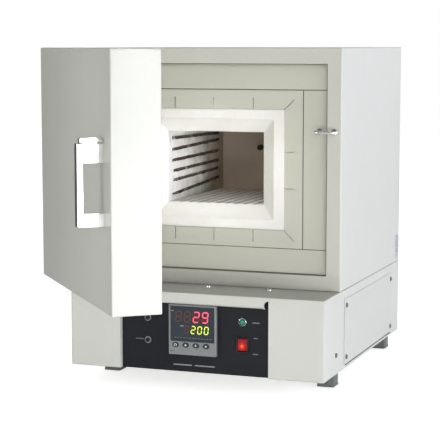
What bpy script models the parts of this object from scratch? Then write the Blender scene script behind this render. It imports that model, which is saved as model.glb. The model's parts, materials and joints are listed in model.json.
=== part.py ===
"""Benchtop box muffle furnace with a thick side-hinged door standing open.

Furnace coordinates are millimetres: X to the right, Y from the front of the
base towards the back, Z up from the bench.  Everything hangs from one empty,
which is moved at the end so that the world origin is the bottom middle of the
box round the furnace as it stands, with its door open.
"""

import itertools
import math

import bmesh
import bpy
from mathutils import Matrix, Vector

MM = 0.001
GAP = 0.3                 # clearance between neighbouring pieces
PAST = 5.0                # how far most cutters run past a face

# ---- overall sizes -------------------------------------------------------
WIDTH = 510.0
DEPTH = 570.0
HEIGHT = 645.0
FOOT_H = 34.0             # underside of the base
BASE_TOP = 187.0          # top of the base and of the ledge
LEDGE = 104.0             # how far the base stands out in front
SHEET = 2.0
HALF = WIDTH / 2
SHELL_BACK = DEPTH - SHEET - GAP      # where the shells meet the back panels

# ---- front frame, recess and face plate ----------------------------------
FRAME_X = 227.0           # half width of the recess opening
FRAME_Z0, FRAME_Z1 = 216.0, 615.0
RECESS = 12.0
PANEL_Y = LEDGE + RECESS + GAP
PLATE_X = 176.0           # half width of the face plate
PLATE_Z0, PLATE_Z1 = 264.3, 565.0

# ---- door and hinges -----------------------------------------------------
DOOR_T = 88.0
DOOR_Z0, DOOR_Z1 = 201.0, 645.0
DOOR_BACK = LEDGE - 2.0               # inner face when shut
DOOR_FRONT = DOOR_BACK - DOOR_T
HINGE_X, HINGE_Y = -270.0, 106.0      # hinge axis, outside the left cheek
DOOR_OPEN = 50.6                      # degrees open as the model stands
STRIKER_Y, STRIKER_Z = 86.0, 488.0    # bar that the door catch grips

SIDES = (("left", -1), ("right", 1))

for old in list(bpy.data.objects):
    bpy.data.objects.remove(old, do_unlink=True)

scene = bpy.context.scene
scene.unit_settings.system = "METRIC"


# ---- materials -----------------------------------------------------------
def make_material(name, rgb, rough, metal=0.0):
    material = bpy.data.materials.new(name)
    material.use_nodes = True
    shader = material.node_tree.nodes["Principled BSDF"]
    shader.inputs["Base Color"].default_value = (*rgb, 1.0)
    shader.inputs["Roughness"].default_value = rough
    shader.inputs["Metallic"].default_value = metal
    material.diffuse_color = (*rgb, 1.0)
    return material


PAINT = make_material("grey_white_enamel", rgb=(0.57, 0.57, 0.50), rough=0.42)
PAINT_SIDE = make_material("grey_white_enamel_cover", rgb=(0.60, 0.60, 0.55), rough=0.42)
PLATE = make_material("enamel_inner_plates", rgb=(0.54, 0.54, 0.46), rough=0.45)
BLACK = make_material("black_panel", rgb=(0.022, 0.024, 0.028), rough=0.5)
CERAMIC = make_material("white_ceramic_fibre", rgb=(0.90, 0.88, 0.82), rough=0.95)
BRICK = make_material("fired_refractory", rgb=(0.55, 0.50, 0.43), rough=0.95)
WOOL = make_material("fibre_blanket", rgb=(0.86, 0.85, 0.80), rough=1.0)
COIL = make_material("resistance_wire", rgb=(0.10, 0.085, 0.075), rough=0.55, metal=0.7)
CHROME = make_material("polished_steel", rgb=(0.86, 0.86, 0.86), rough=0.12, metal=1.0)
STEEL = make_material("zinc_steel", rgb=(0.52, 0.53, 0.54), rough=0.35, metal=1.0)
BEZEL = make_material("meter_case", rgb=(0.27, 0.28, 0.29), rough=0.45)
WINDOW = make_material("meter_window", rgb=(0.045, 0.06, 0.075), rough=0.15)
KEYCAP = make_material("key_rubber", rgb=(0.03, 0.045, 0.05), rough=0.55)
GREEN = make_material("green_lens", rgb=(0.02, 0.38, 0.20), rough=0.2)
RED = make_material("red_lens", rgb=(0.75, 0.03, 0.02), rough=0.25)
DARK = make_material("black_moulding", rgb=(0.03, 0.03, 0.032), rough=0.45)
FOOT = make_material("foot_moulding", rgb=(0.12, 0.125, 0.13), rough=0.7)
ALU = make_material("finned_aluminium", rgb=(0.62, 0.63, 0.64), rough=0.4, metal=1.0)
SHEATH = make_material("ceramic_sheath", rgb=(0.62, 0.55, 0.46), rough=0.8)


# ---- spans: pairs of low and high along one axis -------------------------
def about(middle, half):
    return middle - half, middle + half


def beside(side, near, far, middle=0.0):
    """From near to far out from the middle; side is -1 for left, 1 for right."""
    return sorted((middle + side * near, middle + side * far))


# ---- shapes: every function returns a bmesh in furnace millimetres -------
def box(x_span, y_span, z_span, radius=0.0, segments=2):
    """A block; radius rounds all its edges."""
    shape = bmesh.new()
    bmesh.ops.create_cube(shape, size=1.0)
    for vert in shape.verts:
        vert.co = Vector([low + (unit + 0.5) * (high - low)
                          for unit, (low, high) in zip(vert.co, (x_span, y_span, z_span))])
    if radius:
        bmesh.ops.bevel(shape, geom=shape.edges[:], offset=radius, segments=segments,
                        profile=0.5, affect="EDGES", clamp_overlap=True)
    return shape


def place(axis, first, second, along):
    """A point from its distance along the axis and the two other
    coordinates in X, Y, Z order."""
    return {"x": (along, first, second),
            "y": (first, along, second),
            "z": (first, second, along)}[axis]


def ring_angles(count):
    return [2 * math.pi * (i + 0.5) / count for i in range(count)]


def skin(rings):
    """A closed shape: rings of points joined in turn, with both ends capped."""
    shape = bmesh.new()
    rings = [[shape.verts.new(point) for point in ring] for ring in rings]
    shape.faces.new(rings[0])
    shape.faces.new(rings[-1])
    for one, two in zip(rings, rings[1:]):
        for i in range(len(one)):
            j = (i + 1) % len(one)
            shape.faces.new((one[i], one[j], two[j], two[i]))
    bmesh.ops.recalc_face_normals(shape, faces=shape.faces)
    return shape


def turned(axis, centre, profile, count=24, squash=1.0):
    """A turned piece: profile is (distance along the axis, radius), and
    squash flattens the second of the centre's coordinates."""
    return skin([[place(axis, centre[0] + radius * math.cos(angle),
                        centre[1] + radius * squash * math.sin(angle), along)
                  for angle in ring_angles(count)] for along, radius in profile])


def round_bar(axis, centre, radius, start, end, count=24, squash=1.0):
    return turned(axis, centre, [(start, radius), (end, radius)], count, squash)


def prism(axis, outline, start, end):
    """An outline in the two other axes, pushed from start to end."""
    shape = bmesh.new()
    face = shape.faces.new([shape.verts.new(place(axis, *point, start)) for point in outline])
    made = bmesh.ops.extrude_face_region(shape, geom=[face])
    for item in made["geom"]:
        if isinstance(item, bmesh.types.BMVert):
            item.co = item.co + Vector(place(axis, 0, 0, end - start))
    bmesh.ops.recalc_face_normals(shape, faces=shape.faces)
    return shape


def loft(sections):
    """Rectangles (middle x, half x, half z, y) at the chamber's height, joined in turn."""
    corners = ((-1, -1), (1, -1), (1, 1), (-1, 1))
    return skin([[(middle + sx * half_x, y, MID_Z + sz * half_z) for sx, sz in corners]
                 for middle, half_x, half_z, y in sections])


def sweep(path, radius):
    """A round rod along a path that stays in one plane of constant X."""
    side = Vector((1, 0, 0))
    rings = []
    for i, point in enumerate(path):
        before = path[max(i - 1, 0)]
        after = path[min(i + 1, len(path) - 1)]
        across = (Vector(after) - Vector(before)).normalized().cross(side)
        rings.append([
            Vector(point) + radius * (math.cos(angle) * side + math.sin(angle) * across)
            for angle in ring_angles(8)])
    return skin(rings)


def together(shapes):
    """Separate closed shapes gathered into one bmesh."""
    whole = bmesh.new()
    for shape in shapes:
        mesh = bpy.data.meshes.new("tmp")
        shape.to_mesh(mesh)
        shape.free()
        whole.from_mesh(mesh)
        bpy.data.meshes.remove(mesh)
    return whole


def turn_about_x(shape, centre, degrees):
    turn = Matrix.Rotation(math.radians(degrees), 3, "X")
    centre = Vector(centre)
    for vert in shape.verts:
        vert.co = centre + turn @ (vert.co - centre)
    return shape


# ---- placing -------------------------------------------------------------
def world(point):
    return Vector((point[0] * MM, (point[1] - DEPTH / 2) * MM, point[2] * MM))


def empty(name, at):
    obj = bpy.data.objects.new(name, None)
    obj.location = world(at)
    obj.empty_display_size = 0.05
    scene.collection.objects.link(obj)
    return obj


furnace = empty("furnace", (0, DEPTH / 2, 0))
door_axis = empty("door_axis", (HINGE_X, HINGE_Y, 0))
door_axis.parent = furnace


def part(name, shape, material, parent=None, origin=None, smooth=None):
    """Link a piece.  Its origin is by default the middle of its box; smooth
    is the angle in degrees above which edges stay sharp."""
    if origin is None:
        columns = [[vert.co[i] for vert in shape.verts] for i in range(3)]
        origin = [(min(column) + max(column)) / 2 for column in columns]
    origin = Vector(origin)
    for vert in shape.verts:
        vert.co = (vert.co - origin) * MM
    mesh = bpy.data.meshes.new(name)
    shape.to_mesh(mesh)
    shape.free()
    obj = bpy.data.objects.new(name, mesh)
    if material:
        mesh.materials.append(material)
    scene.collection.objects.link(obj)
    obj.parent = parent or furnace
    obj.location = world(origin)
    if parent is door_axis:
        obj.location -= world((HINGE_X, HINGE_Y, 0))
    if smooth:
        mesh.shade_smooth()
        mesh.set_sharp_from_angle(angle=math.radians(smooth))
    return obj


tool_numbers = itertools.count(1)


def combine(target, shapes, operation):
    """Add one boolean modifier that uses all the shapes as a hidden tool."""
    number = next(tool_numbers)
    tool = part(f"tool_{number:03d}_{target.name}", together(shapes), None,
                parent=target.parent)
    tool.hide_render = True
    tool.display_type = "WIRE"
    modifier = target.modifiers.new(f"{operation.lower()}_{number}", "BOOLEAN")
    modifier.operation = operation
    modifier.solver = "EXACT"
    modifier.object = tool


def cut(target, *shapes):
    combine(target, shapes, "DIFFERENCE")


def add(target, *shapes):
    combine(target, shapes, "UNION")


# ---- sheet metal pieces used more than once ------------------------------
def sheet_shell(name, y_span, z_span, cavity_back, cavity_bottom, parent=None):
    """A full-width painted box, hollow and open at the back."""
    shell = part(name, box(about(0, HALF), y_span, z_span, 2.5, 3), PAINT, parent, smooth=30)
    cut(shell, box(about(0, HALF - SHEET), (y_span[0] + SHEET, cavity_back),
                   (cavity_bottom, z_span[1] - SHEET)))
    return shell


def back_panel(name, z_span, slot_x, slot_rows):
    """A rear panel with rows of level slots."""
    panel = part(name, box(about(0, HALF), (DEPTH - SHEET, DEPTH), z_span, 0.6, 1), PAINT)
    cut(panel, *[box(slot_x, (DEPTH - 6, DEPTH + PAST), (z, z + 5)) for z in slot_rows])
    return panel


# =========================================================================
# Base
# =========================================================================
OPEN_LEFT, OPEN_RIGHT = -151.0, 147.0   # opening for the control panel
OPEN_Z = 165.0                          # top of that opening
ROLL = 5.0                              # radius of the brow's lower edge
RELIEF_R, RELIEF_Z = 9.0, 171.0         # half-round reliefs at the brow's ends
TRAY_X = HALF - 2.4
TRAY_TOP = FOOT_H + 2.3
SCREW_Y = 77
SCREWS = (("left", -123), ("middle", 0), ("right", 123))
GLAND = (-180, 90)                      # x, z of the cable gland
FOOT_X0, FOOT_X1 = 205, 240             # inner and outer side of a foot
FOOT_D = 36


def build_base_housing():
    housing = sheet_shell("base_housing", (0, SHELL_BACK), (FOOT_H, BASE_TOP),
                          DEPTH + PAST, FOOT_H - PAST)
    # thickened rim, then the opening itself, out through the bottom edge
    rim_z = (FOOT_H + 1, OPEN_Z + 2)
    add(housing,
        box((OPEN_LEFT - 2, OPEN_LEFT + 3), (1, 10), rim_z),
        box((OPEN_RIGHT - 3, OPEN_RIGHT + 2), (1, 10), rim_z))
    add(housing, box((OPEN_LEFT + 11, OPEN_RIGHT - 11), (1, 9), (OPEN_Z - 2, OPEN_Z + 9)))
    cut(housing, box((OPEN_LEFT, OPEN_RIGHT), (-PAST, 30), (FOOT_H - 9, OPEN_Z)))
    # the brow's lower edge is rolled in
    roll = [(-4.0, OPEN_Z - 4.0), (-4.0, OPEN_Z + ROLL)]
    for degrees in (0, 22.5, 45, 67.5, 90):
        angle = math.radians(degrees)
        roll.append((ROLL - ROLL * math.cos(angle), OPEN_Z + ROLL - ROLL * math.sin(angle)))
    roll.append((ROLL, OPEN_Z - 4.0))
    cut(housing, prism("x", roll, OPEN_LEFT + 10, OPEN_RIGHT - 10))
    for side, edge in ((-1, OPEN_LEFT), (1, OPEN_RIGHT)):
        angles = [math.pi / 2 + math.pi * i / 12 for i in range(13)]
        relief = [(edge + side * RELIEF_R * math.cos(angle),
                   RELIEF_Z + RELIEF_R * math.sin(angle)) for angle in angles]
        cut(housing, prism("y", relief, -PAST, 30))
    # access windows behind the side covers
    cut(housing, *[box(about(side * HALF, PAST), (152, 484), (66, 147)) for _, side in SIDES])
    # cable way up into the cabinet and holes for the ledge screws
    top_cut = (BASE_TOP - 6, BASE_TOP + PAST)
    cut(housing, box((-60, 60), (500, 540), top_cut),
        *[round_bar("z", (x, SCREW_Y), 2.6, *top_cut, 12) for _, x in SCREWS])


def build_base_tray():
    tray = part("base_tray",
                box(about(0, TRAY_X), (13, DEPTH - 2.9), (FOOT_H + GAP, TRAY_TOP)), PAINT)
    add(tray, *[box(beside(side, TRAY_X - SHEET, TRAY_X), (30, DEPTH - 30), (FOOT_H + 1, 50))
                for _, side in SIDES])


def build_base_back():
    panel = back_panel("base_back_panel", (FOOT_H, BASE_TOP), (40, 200), range(70, 141, 14))
    cut(panel, round_bar("y", GLAND, 10.6, DEPTH - 6, DEPTH + PAST, 20))


def build_side_covers():
    for name, side in SIDES:
        part(f"side_cover_{name}",
             box(beside(side, HALF + GAP, HALF + 1.6), (132, 503), (43, 170), 0.5, 1),
             PAINT_SIDE)


def build_ledge_screws():
    for name, x in SCREWS:
        profile = [(178, 2.2), (187.4, 2.2), (187.4, 4.2), (191.2, 4.2), (192.0, 3.4)]
        screw = part(f"ledge_screw_{name}", turned("z", (x, SCREW_Y), profile, 16),
                     STEEL, smooth=40)
        # hexagon socket
        cut(screw, round_bar("z", (x, SCREW_Y), 1.9, 189.6, 195, 6))


def build_feet():
    for row, y in (("front", 118), ("rear", 517)):
        for name, side in SIDES:
            foot = part(f"foot_{row}_{name}",
                        box(beside(side, FOOT_X0, FOOT_X1), (y, y + FOOT_D), (0, FOOT_H), 1.5, 2),
                        FOOT, smooth=40)
            centre = (side * (FOOT_X0 + FOOT_X1) / 2, y + FOOT_D / 2)
            cut(foot, round_bar("z", centre, 7.5, -PAST, 12, 16))


# =========================================================================
# Control panel and what is mounted in the base
# =========================================================================
SEAT_Y = 10.0                         # back of the rims that stand on the panel
CTRL_Y = SEAT_Y + GAP                 # face of the black panel
METER_X, METER_Z = -4.2, 116.0
METER = 96.0                          # side of the controller's square front
WINDOW_X = 44                         # half width
WINDOW_Z0, WINDOW_Z1 = 94, 161
KEYS = (("cycle", -38.2), ("shift", -17.6), ("down", 3.0), ("up", 23.6))
KEY_Z = 87.0
KEY_SQUASH = 0.75                     # height of the oval keys over their width
LAMP = (94.0, 137.0)                  # x, z
ROCKER_X, ROCKER_Z = 93.5, 93.3
ROCKER_Y = 13.5                       # pivot of the rocker key
# side view of the rocker key: y, z from its pivot
ROCKER_OUTLINE = ((-7.2, -11.0), (-8.0, -10.2), (-6.6, 0.0), (-8.0, 10.2),
                  (-7.2, 11.0), (2.0, 9.5), (4.0, 0.0), (2.0, -9.5))
FUSE_X = -97.5
FUSES = (("upper", 134.0), ("lower", 91.0))
SINK_X, SINK_Y = 60, (330, 430)       # left edge and depth span of the heat sink


def build_control_panel():
    panel = part("control_panel",
                 box(about(0, 165), (CTRL_Y, CTRL_Y + SHEET), (FOOT_H + GAP, 182)), BLACK)
    cut(panel,
        box(about(METER_X, 45.6), (0, 30), about(METER_Z, 45.6)),
        round_bar("y", LAMP, 6.1, 0, 30, 20),
        box(about(ROCKER_X, 10.8), (0, 30), about(ROCKER_Z, 13.6)),
        *[round_bar("y", (FUSE_X, z), 5.6, 0, 30, 20) for _, z in FUSES])


def build_controller():
    case = part("controller_case",
                box(about(METER_X, METER / 2), (1.5, SEAT_Y), about(METER_Z, METER / 2), 1.4, 2),
                BEZEL, smooth=40)
    add(case, box(about(METER_X, 45), (9, 92), about(METER_Z, 45)))
    cut(case, box(about(METER_X, 42.5), (4.4, 100), about(METER_Z, 43)))
    cut(case, box(about(METER_X, WINDOW_X + GAP), (-2, 5.0), (WINDOW_Z0 - GAP, WINDOW_Z1 + GAP)))
    cut(case, *[round_bar("y", (x, KEY_Z), 6.9, -2, 8, 20, KEY_SQUASH) for _, x in KEYS])
    part("controller_window",
         box(about(METER_X, WINDOW_X), (1.8, 4.6), (WINDOW_Z0, WINDOW_Z1), 0.4, 1), WINDOW)
    for name, x in KEYS:
        key = part(f"key_{name}",
                   turned("y", (x, KEY_Z), [(0.6, 5.7), (1.1, 6.4), (8.0, 6.4)], 20),
                   KEYCAP, origin=(x, 1.0, KEY_Z), smooth=40)
        # flattened last, so that its sharp edges are those of the round key
        for vert in key.data.vertices:
            vert.co.z *= KEY_SQUASH


def build_pilot_lamp():
    body = [(6.4, 7.0), (6.9, 7.8), (SEAT_Y, 7.8), (SEAT_Y, 5.7), (42.0, 5.7)]
    lamp = part("pilot_lamp_body", turned("y", LAMP, body), CHROME, smooth=40)
    cut(lamp, round_bar("y", LAMP, 6.3, -3, 8.6))
    lens = [(3.2, 1.6), (3.7, 3.4), (4.8, 5.0), (6.2, 5.9), (8.2, 5.9)]
    part("pilot_lamp_lens", turned("y", LAMP, lens), GREEN, smooth=40)


def build_rocker():
    frame = part("rocker_frame",
                 box(about(ROCKER_X, 12.5), (7.2, SEAT_Y), about(ROCKER_Z, 15), 0.8, 2),
                 DARK, smooth=40)
    add(frame, box(about(ROCKER_X, 10.4), (9, 38), about(ROCKER_Z, 13.2)))
    cut(frame, box(about(ROCKER_X, 9.9), (0, 26), about(ROCKER_Z, 12.7)))
    outline = [(ROCKER_Y + y, ROCKER_Z + z) for y, z in ROCKER_OUTLINE]
    pivot = (ROCKER_X, ROCKER_Y, ROCKER_Z)
    key = turn_about_x(prism("x", outline, *about(ROCKER_X, 9.4)), pivot, -6.5)
    part("rocker_key", key, RED, origin=pivot)


def build_fuse_holders():
    profile = [(5.0, 3.9), (5.4, 4.4), (7.6, 4.4), (7.6, 5.9), (8.0, 6.4), (SEAT_Y, 6.4),
               (SEAT_Y, 5.2), (40.0, 5.2)]
    for name, z in FUSES:
        holder = part(f"fuse_holder_{name}", turned("y", (FUSE_X, z), profile),
                      STEEL, smooth=40)
        # screwdriver slot
        cut(holder, box(about(FUSE_X, 3.2), (0, 6.2), about(z, 0.6)))


def build_power_regulator():
    """Triac module on a finned heat sink, standing on the tray."""
    sink = part("power_regulator",
                box((SINK_X, SINK_X + 100), SINK_Y, (TRAY_TOP + GAP, 44)), ALU)
    add(sink, *[box((SINK_X + 14 * i, SINK_X + 14 * i + 4), SINK_Y, (42, 82))
                for i in range(8)])
    add(sink, box((92, 128), (345, 380), (60, 96)))


def build_cable_gland():
    profile = [(556, 9.6), (568.0, 9.6), (570.3, 9.6), (570.3, 14.0), (577.0, 14.0),
               (577.6, 11.5), (584.0, 10.5), (588.0, 7.5)]
    gland = part("cable_gland", turned("y", GLAND, profile, 18), DARK, smooth=30)
    cut(gland, round_bar("y", GLAND, 5.0, 540, 600, 14))


# =========================================================================
# Upper cabinet, throat and chamber
# =========================================================================
CABINET_Z0 = BASE_TOP + GAP
MID_Z = 413.5                         # middle height of throat and chamber
COLLAR_MID = -2.4                     # middle x of the collar and plate slots
COLLAR_X, COLLAR_Z = 142.6, 115.0     # half sizes
COLLAR_Y0, COLLAR_Y1 = 114.6, 140.0
SPLAY_X, SPLAY_Z = 122.0, 96.0        # half sizes of the splayed throat
MUFFLE_MID = -8.4                     # middle x of the mouth and chamber
MOUTH_X, MOUTH_Z = 99.0, 70.0         # half sizes
BOARD = 30.0
FLOOR_T = 28.0
HEARTH_T = 15.0
CHAMBER_FRONT = COLLAR_Y1 + GAP
CHAMBER_BACK = 456.0
CHAMBER_TOP = MID_Z + MOUTH_Z
HEARTH_TOP = MID_Z - MOUTH_Z
FLOOR_TOP = HEARTH_TOP - HEARTH_T
FLOOR_BOTTOM = FLOOR_TOP - FLOOR_T
MUFFLE_X = MOUTH_X + BOARD            # half width outside the walls

SLOT = 1.7                            # width of the face plate's slots
SLOT_IN = 3                           # how far their cutters start inside the opening
SLOT_PITCH_X = 80                     # between the upright slots
SLOT_Z = 34.8                         # level slots, above and below the middle

COIL_X = 108.0                        # from the chamber's middle
# front and rear height of each straight pass
COIL_ROWS = ((467.0, 463.5), (444.5, 449.5), (423.0, 426.0),
             (402.0, 405.5), (383.0, 388.5), (356.0, 369.0))
COIL_FRONT, COIL_REAR = 174.0, 430.0
LEAD_ROWS = (COIL_ROWS[0][1], COIL_ROWS[5][1])
LEAD_END = 548.0
# front and rear end of the wall's slot for each pass
COIL_SLOTS = ((162, 442), (162, 442), (162, 442), (168, 432), (168, 432), (162, 442))
PROBE = (-20.9, 432.3)                # x, z of the thermocouple


def build_upper_shell():
    shell = sheet_shell("upper_shell", (LEDGE, SHELL_BACK), (CABINET_Z0, HEIGHT),
                        DEPTH + PAST, CABINET_Z0 - PAST)
    # rim round the recess
    add(shell, box(about(0, FRAME_X + SHEET), (LEDGE + 1, LEDGE + RECESS),
                   (FRAME_Z0 - SHEET, FRAME_Z1 + SHEET)))
    cut(shell, box(about(0, FRAME_X), (LEDGE - PAST, LEDGE + 40), (FRAME_Z0, FRAME_Z1)))


def build_upper_back():
    rows = (*range(240, 283, 14), *range(560, 603, 14))
    back_panel("upper_back_panel", (CABINET_Z0, HEIGHT), (-150, 150), rows)


def build_trim_strips():
    """Four strips filling the recess round the face plate."""
    for name, x_span, z_span in (
            ("top", (-235, 235), (PLATE_Z1 + 0.7, 625)),
            ("bottom", (-235, 235), (206, PLATE_Z0 - 0.7)),
            ("left", (-235, -PLATE_X - 0.8), (PLATE_Z0, PLATE_Z1)),
            ("right", (PLATE_X + 0.8, 235), (PLATE_Z0, PLATE_Z1))):
        part(f"trim_strip_{name}", box(x_span, (PANEL_Y, PANEL_Y + 1.6), z_span), PLATE)


def build_face_plate():
    """Centre plate round the throat: the slots let it grow with heat."""
    plate = part("face_plate",
                 box(about(0, PLATE_X), (114.8, 118.0), (PLATE_Z0, PLATE_Z1), 0.8, 2),
                 PLATE, smooth=40)
    cut_y = (100, 130)
    open_x, open_z = COLLAR_X + GAP, COLLAR_Z + GAP
    cut(plate, box(about(COLLAR_MID, open_x), cut_y, about(MID_Z, open_z)))
    slots = []
    for i in (-1, 0, 1):
        x_span = about(COLLAR_MID + i * SLOT_PITCH_X, SLOT / 2)
        slots.append(box(x_span, cut_y, beside(1, open_z - SLOT_IN, open_z + 21, MID_Z)))
        slots.append(box(x_span, cut_y, beside(-1, open_z - SLOT_IN, open_z + 24, MID_Z)))
    for z in (-SLOT_Z, SLOT_Z):
        for side in (-1, 1):
            slots.append(box(beside(side, open_x - SLOT_IN, open_x + 18, COLLAR_MID), cut_y,
                             about(MID_Z + z, SLOT / 2)))
    # diagonal slots at the corners
    offset = SLOT / 2 * math.sqrt(0.5)
    for sx in (-1, 1):
        for sz in (-1, 1):
            x0, x1 = [COLLAR_MID + sx * (open_x + out) for out in (-SLOT_IN, 19)]
            z0, z1 = [MID_Z + sz * (open_z + out) for out in (-SLOT_IN, 19)]
            dx, dz = offset * sx, offset * sz
            slots.append(prism("y", [(x0 - dx, z0 + dz), (x0 + dx, z0 - dz),
                                     (x1 + dx, z1 - dz), (x1 - dx, z1 + dz)], *cut_y))
    cut(plate, *slots)


def build_throat_collar():
    """White collar with a splayed throat."""
    collar = part("throat_collar",
                  box(about(COLLAR_MID, COLLAR_X), (COLLAR_Y0, COLLAR_Y1),
                      about(MID_Z, COLLAR_Z), 1.2, 2), CERAMIC, smooth=40)
    # the first section lies in front of the collar, so it is wider than the splay
    cut(collar, loft([(COLLAR_MID, SPLAY_X + 9.6, SPLAY_Z + 10.2, COLLAR_Y0 - 10),
                      (MUFFLE_MID, MOUTH_X, MOUTH_Z, COLLAR_Y1),
                      (MUFFLE_MID, MOUTH_X, MOUTH_Z, COLLAR_Y1 + 10)]))


def coil_z(row, y):
    """Height of a straight pass at depth y: each pass slopes from front to rear."""
    front, rear = COIL_ROWS[row]
    return front + (rear - front) * (y - COIL_FRONT) / (COIL_REAR - COIL_FRONT)


def coil_path(side):
    """The element: six straight passes joined by half turns, ends to the rear."""
    x = MUFFLE_MID + side * COIL_X
    first, last = LEAD_ROWS
    path = [(x, LEAD_END, first), (x, COIL_REAR, first)]
    for i in range(5):
        end = i % 2
        y, way = (COIL_REAR, 1) if end else (COIL_FRONT, -1)
        upper, lower = COIL_ROWS[i][end], COIL_ROWS[i + 1][end]
        middle, radius = (upper + lower) / 2, (upper - lower) / 2
        for k in range(7):
            angle = math.pi * k / 6
            path.append((x, y + way * radius * math.sin(angle),
                         middle + radius * math.cos(angle)))
    return path + [(x, COIL_REAR, last), (x, LEAD_END, last)]


def service_holes(y0, y1):
    """Straight holes to the rear for the four element leads and the probe."""
    holes = [round_bar("y", (MUFFLE_MID + side * COIL_X, z), 4.6, y0, y1, 12)
             for _, side in SIDES for z in LEAD_ROWS]
    return holes + [round_bar("y", PROBE, 6.2, y0, y1, 16)]


def build_muffle():
    """Refractory boards round the chamber."""
    x_span = about(MUFFLE_MID, MUFFLE_X)
    y_span = (CHAMBER_FRONT, CHAMBER_BACK)
    roof_z = CHAMBER_TOP + GAP
    part("muffle_floor", box(x_span, y_span, (FLOOR_BOTTOM, FLOOR_TOP)), BRICK)
    part("muffle_roof", box(x_span, y_span, (roof_z, roof_z + BOARD)), BRICK)
    for name, side in SIDES:
        wall = part(f"muffle_wall_{name}",
                    box(beside(side, MOUTH_X + GAP, MUFFLE_X, MUFFLE_MID), y_span,
                        (FLOOR_TOP + GAP, CHAMBER_TOP)), BRICK)
        cut(wall, sweep(coil_path(side), 4.4))
        # slots that open the straight passes to the chamber
        slots = []
        for i, (y0, y1) in enumerate(COIL_SLOTS):
            z0, z1 = coil_z(i, y0), coil_z(i, y1)
            outline = [(y0, z0 - 3.2), (y1, z1 - 3.2), (y1, z1 + 3.2), (y0, z0 + 3.2)]
            slots.append(prism("x", outline, *beside(side, MOUTH_X - 5, COIL_X, MUFFLE_MID)))
        cut(wall, *slots)
        part(f"heating_coil_{name}", sweep(coil_path(side), 3.5), COIL, smooth=60)
    back = part("muffle_back_wall",
                box(x_span, (CHAMBER_BACK + GAP, CHAMBER_BACK + BOARD),
                    (FLOOR_BOTTOM, roof_z + BOARD)), BRICK)
    cut(back, *service_holes(CHAMBER_BACK - PAST, CHAMBER_BACK + BOARD + PAST))


def build_hearth():
    """Loose hearth plate with nine grooves from front to back."""
    hearth = part("hearth_plate",
                  box(about(MUFFLE_MID, MOUTH_X - 0.4), (CHAMBER_FRONT + 0.7, CHAMBER_BACK - 0.5),
                      (FLOOR_TOP + GAP, HEARTH_TOP), 0.8, 1), BRICK)
    cut(hearth, *[box(about(MUFFLE_MID + x, 3.6), (CHAMBER_FRONT - 10, CHAMBER_BACK + 10),
                      (HEARTH_TOP - 4.0, HEARTH_TOP + PAST)) for x in range(-76, 77, 19)])


def build_insulation():
    """Fibre jacket filling the cabinet round the muffle."""
    jacket = part("insulation_jacket", box((-244, 244), (119.5, 520), (206, 636)), WOOL)
    cut(jacket, box(about(COLLAR_MID, COLLAR_X + 0.6), (110, COLLAR_Y1 + 0.1),
                    about(MID_Z, COLLAR_Z + 0.6)))
    cut(jacket, box(about(MUFFLE_MID, MUFFLE_X + 0.5), (110, CHAMBER_BACK + BOARD + GAP),
                    (FLOOR_BOTTOM - 0.5, CHAMBER_TOP + BOARD + 0.8)))
    cut(jacket, *service_holes(CHAMBER_BACK + 10, 530))


def build_terminals():
    """Board behind the jacket, and the thermocouple that passes through it."""
    board = part("terminal_board", box((-128, 128), (520.3, 526.3), (345, 490), 0.8, 1), CERAMIC)
    cut(board, *service_holes(510, 540))
    profile = [(444.0, 2.6), (445.5, 3.9), (534.0, 3.9), (534.0, 13.0), (556.0, 13.0),
               (558.0, 11.0)]
    part("thermocouple", turned("y", PROBE, profile, 16), SHEATH, smooth=40)


def build_striker():
    """Staple for the door catch: one foot in the recess, one on the frame."""
    striker = part("door_striker",
                   round_bar("x", (STRIKER_Y, STRIKER_Z), 3.2, 206.5, 245.5, 16),
                   CHROME, smooth=50)
    feet = ((210.0, PANEL_Y), (241.0, LEDGE))       # x, y of the face stood on
    for x, face in feet:
        add(striker, round_bar("y", (x, STRIKER_Z), 3.0, STRIKER_Y, face - GAP, 16))
    for x, face in feet:
        add(striker, round_bar("y", (x, STRIKER_Z), 6.5, face - 3.0, face - GAP, 18))


# =========================================================================
# Hinges: two cabinet knuckles with one door knuckle between them
# =========================================================================
HINGES = (("upper", 552.0), ("lower", 290.0))    # middle heights
HINGE_L = 76.0
HINGE_AXIS = (HINGE_X, HINGE_Y)
KNUCKLE_R = 6.0
BORE_R = 3.3
LEAF_X = (-HALF - 2.8, -HALF - GAP)
WEB_X = (HINGE_X, -HALF - 1.0)                   # web from knuckle to leaf


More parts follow.
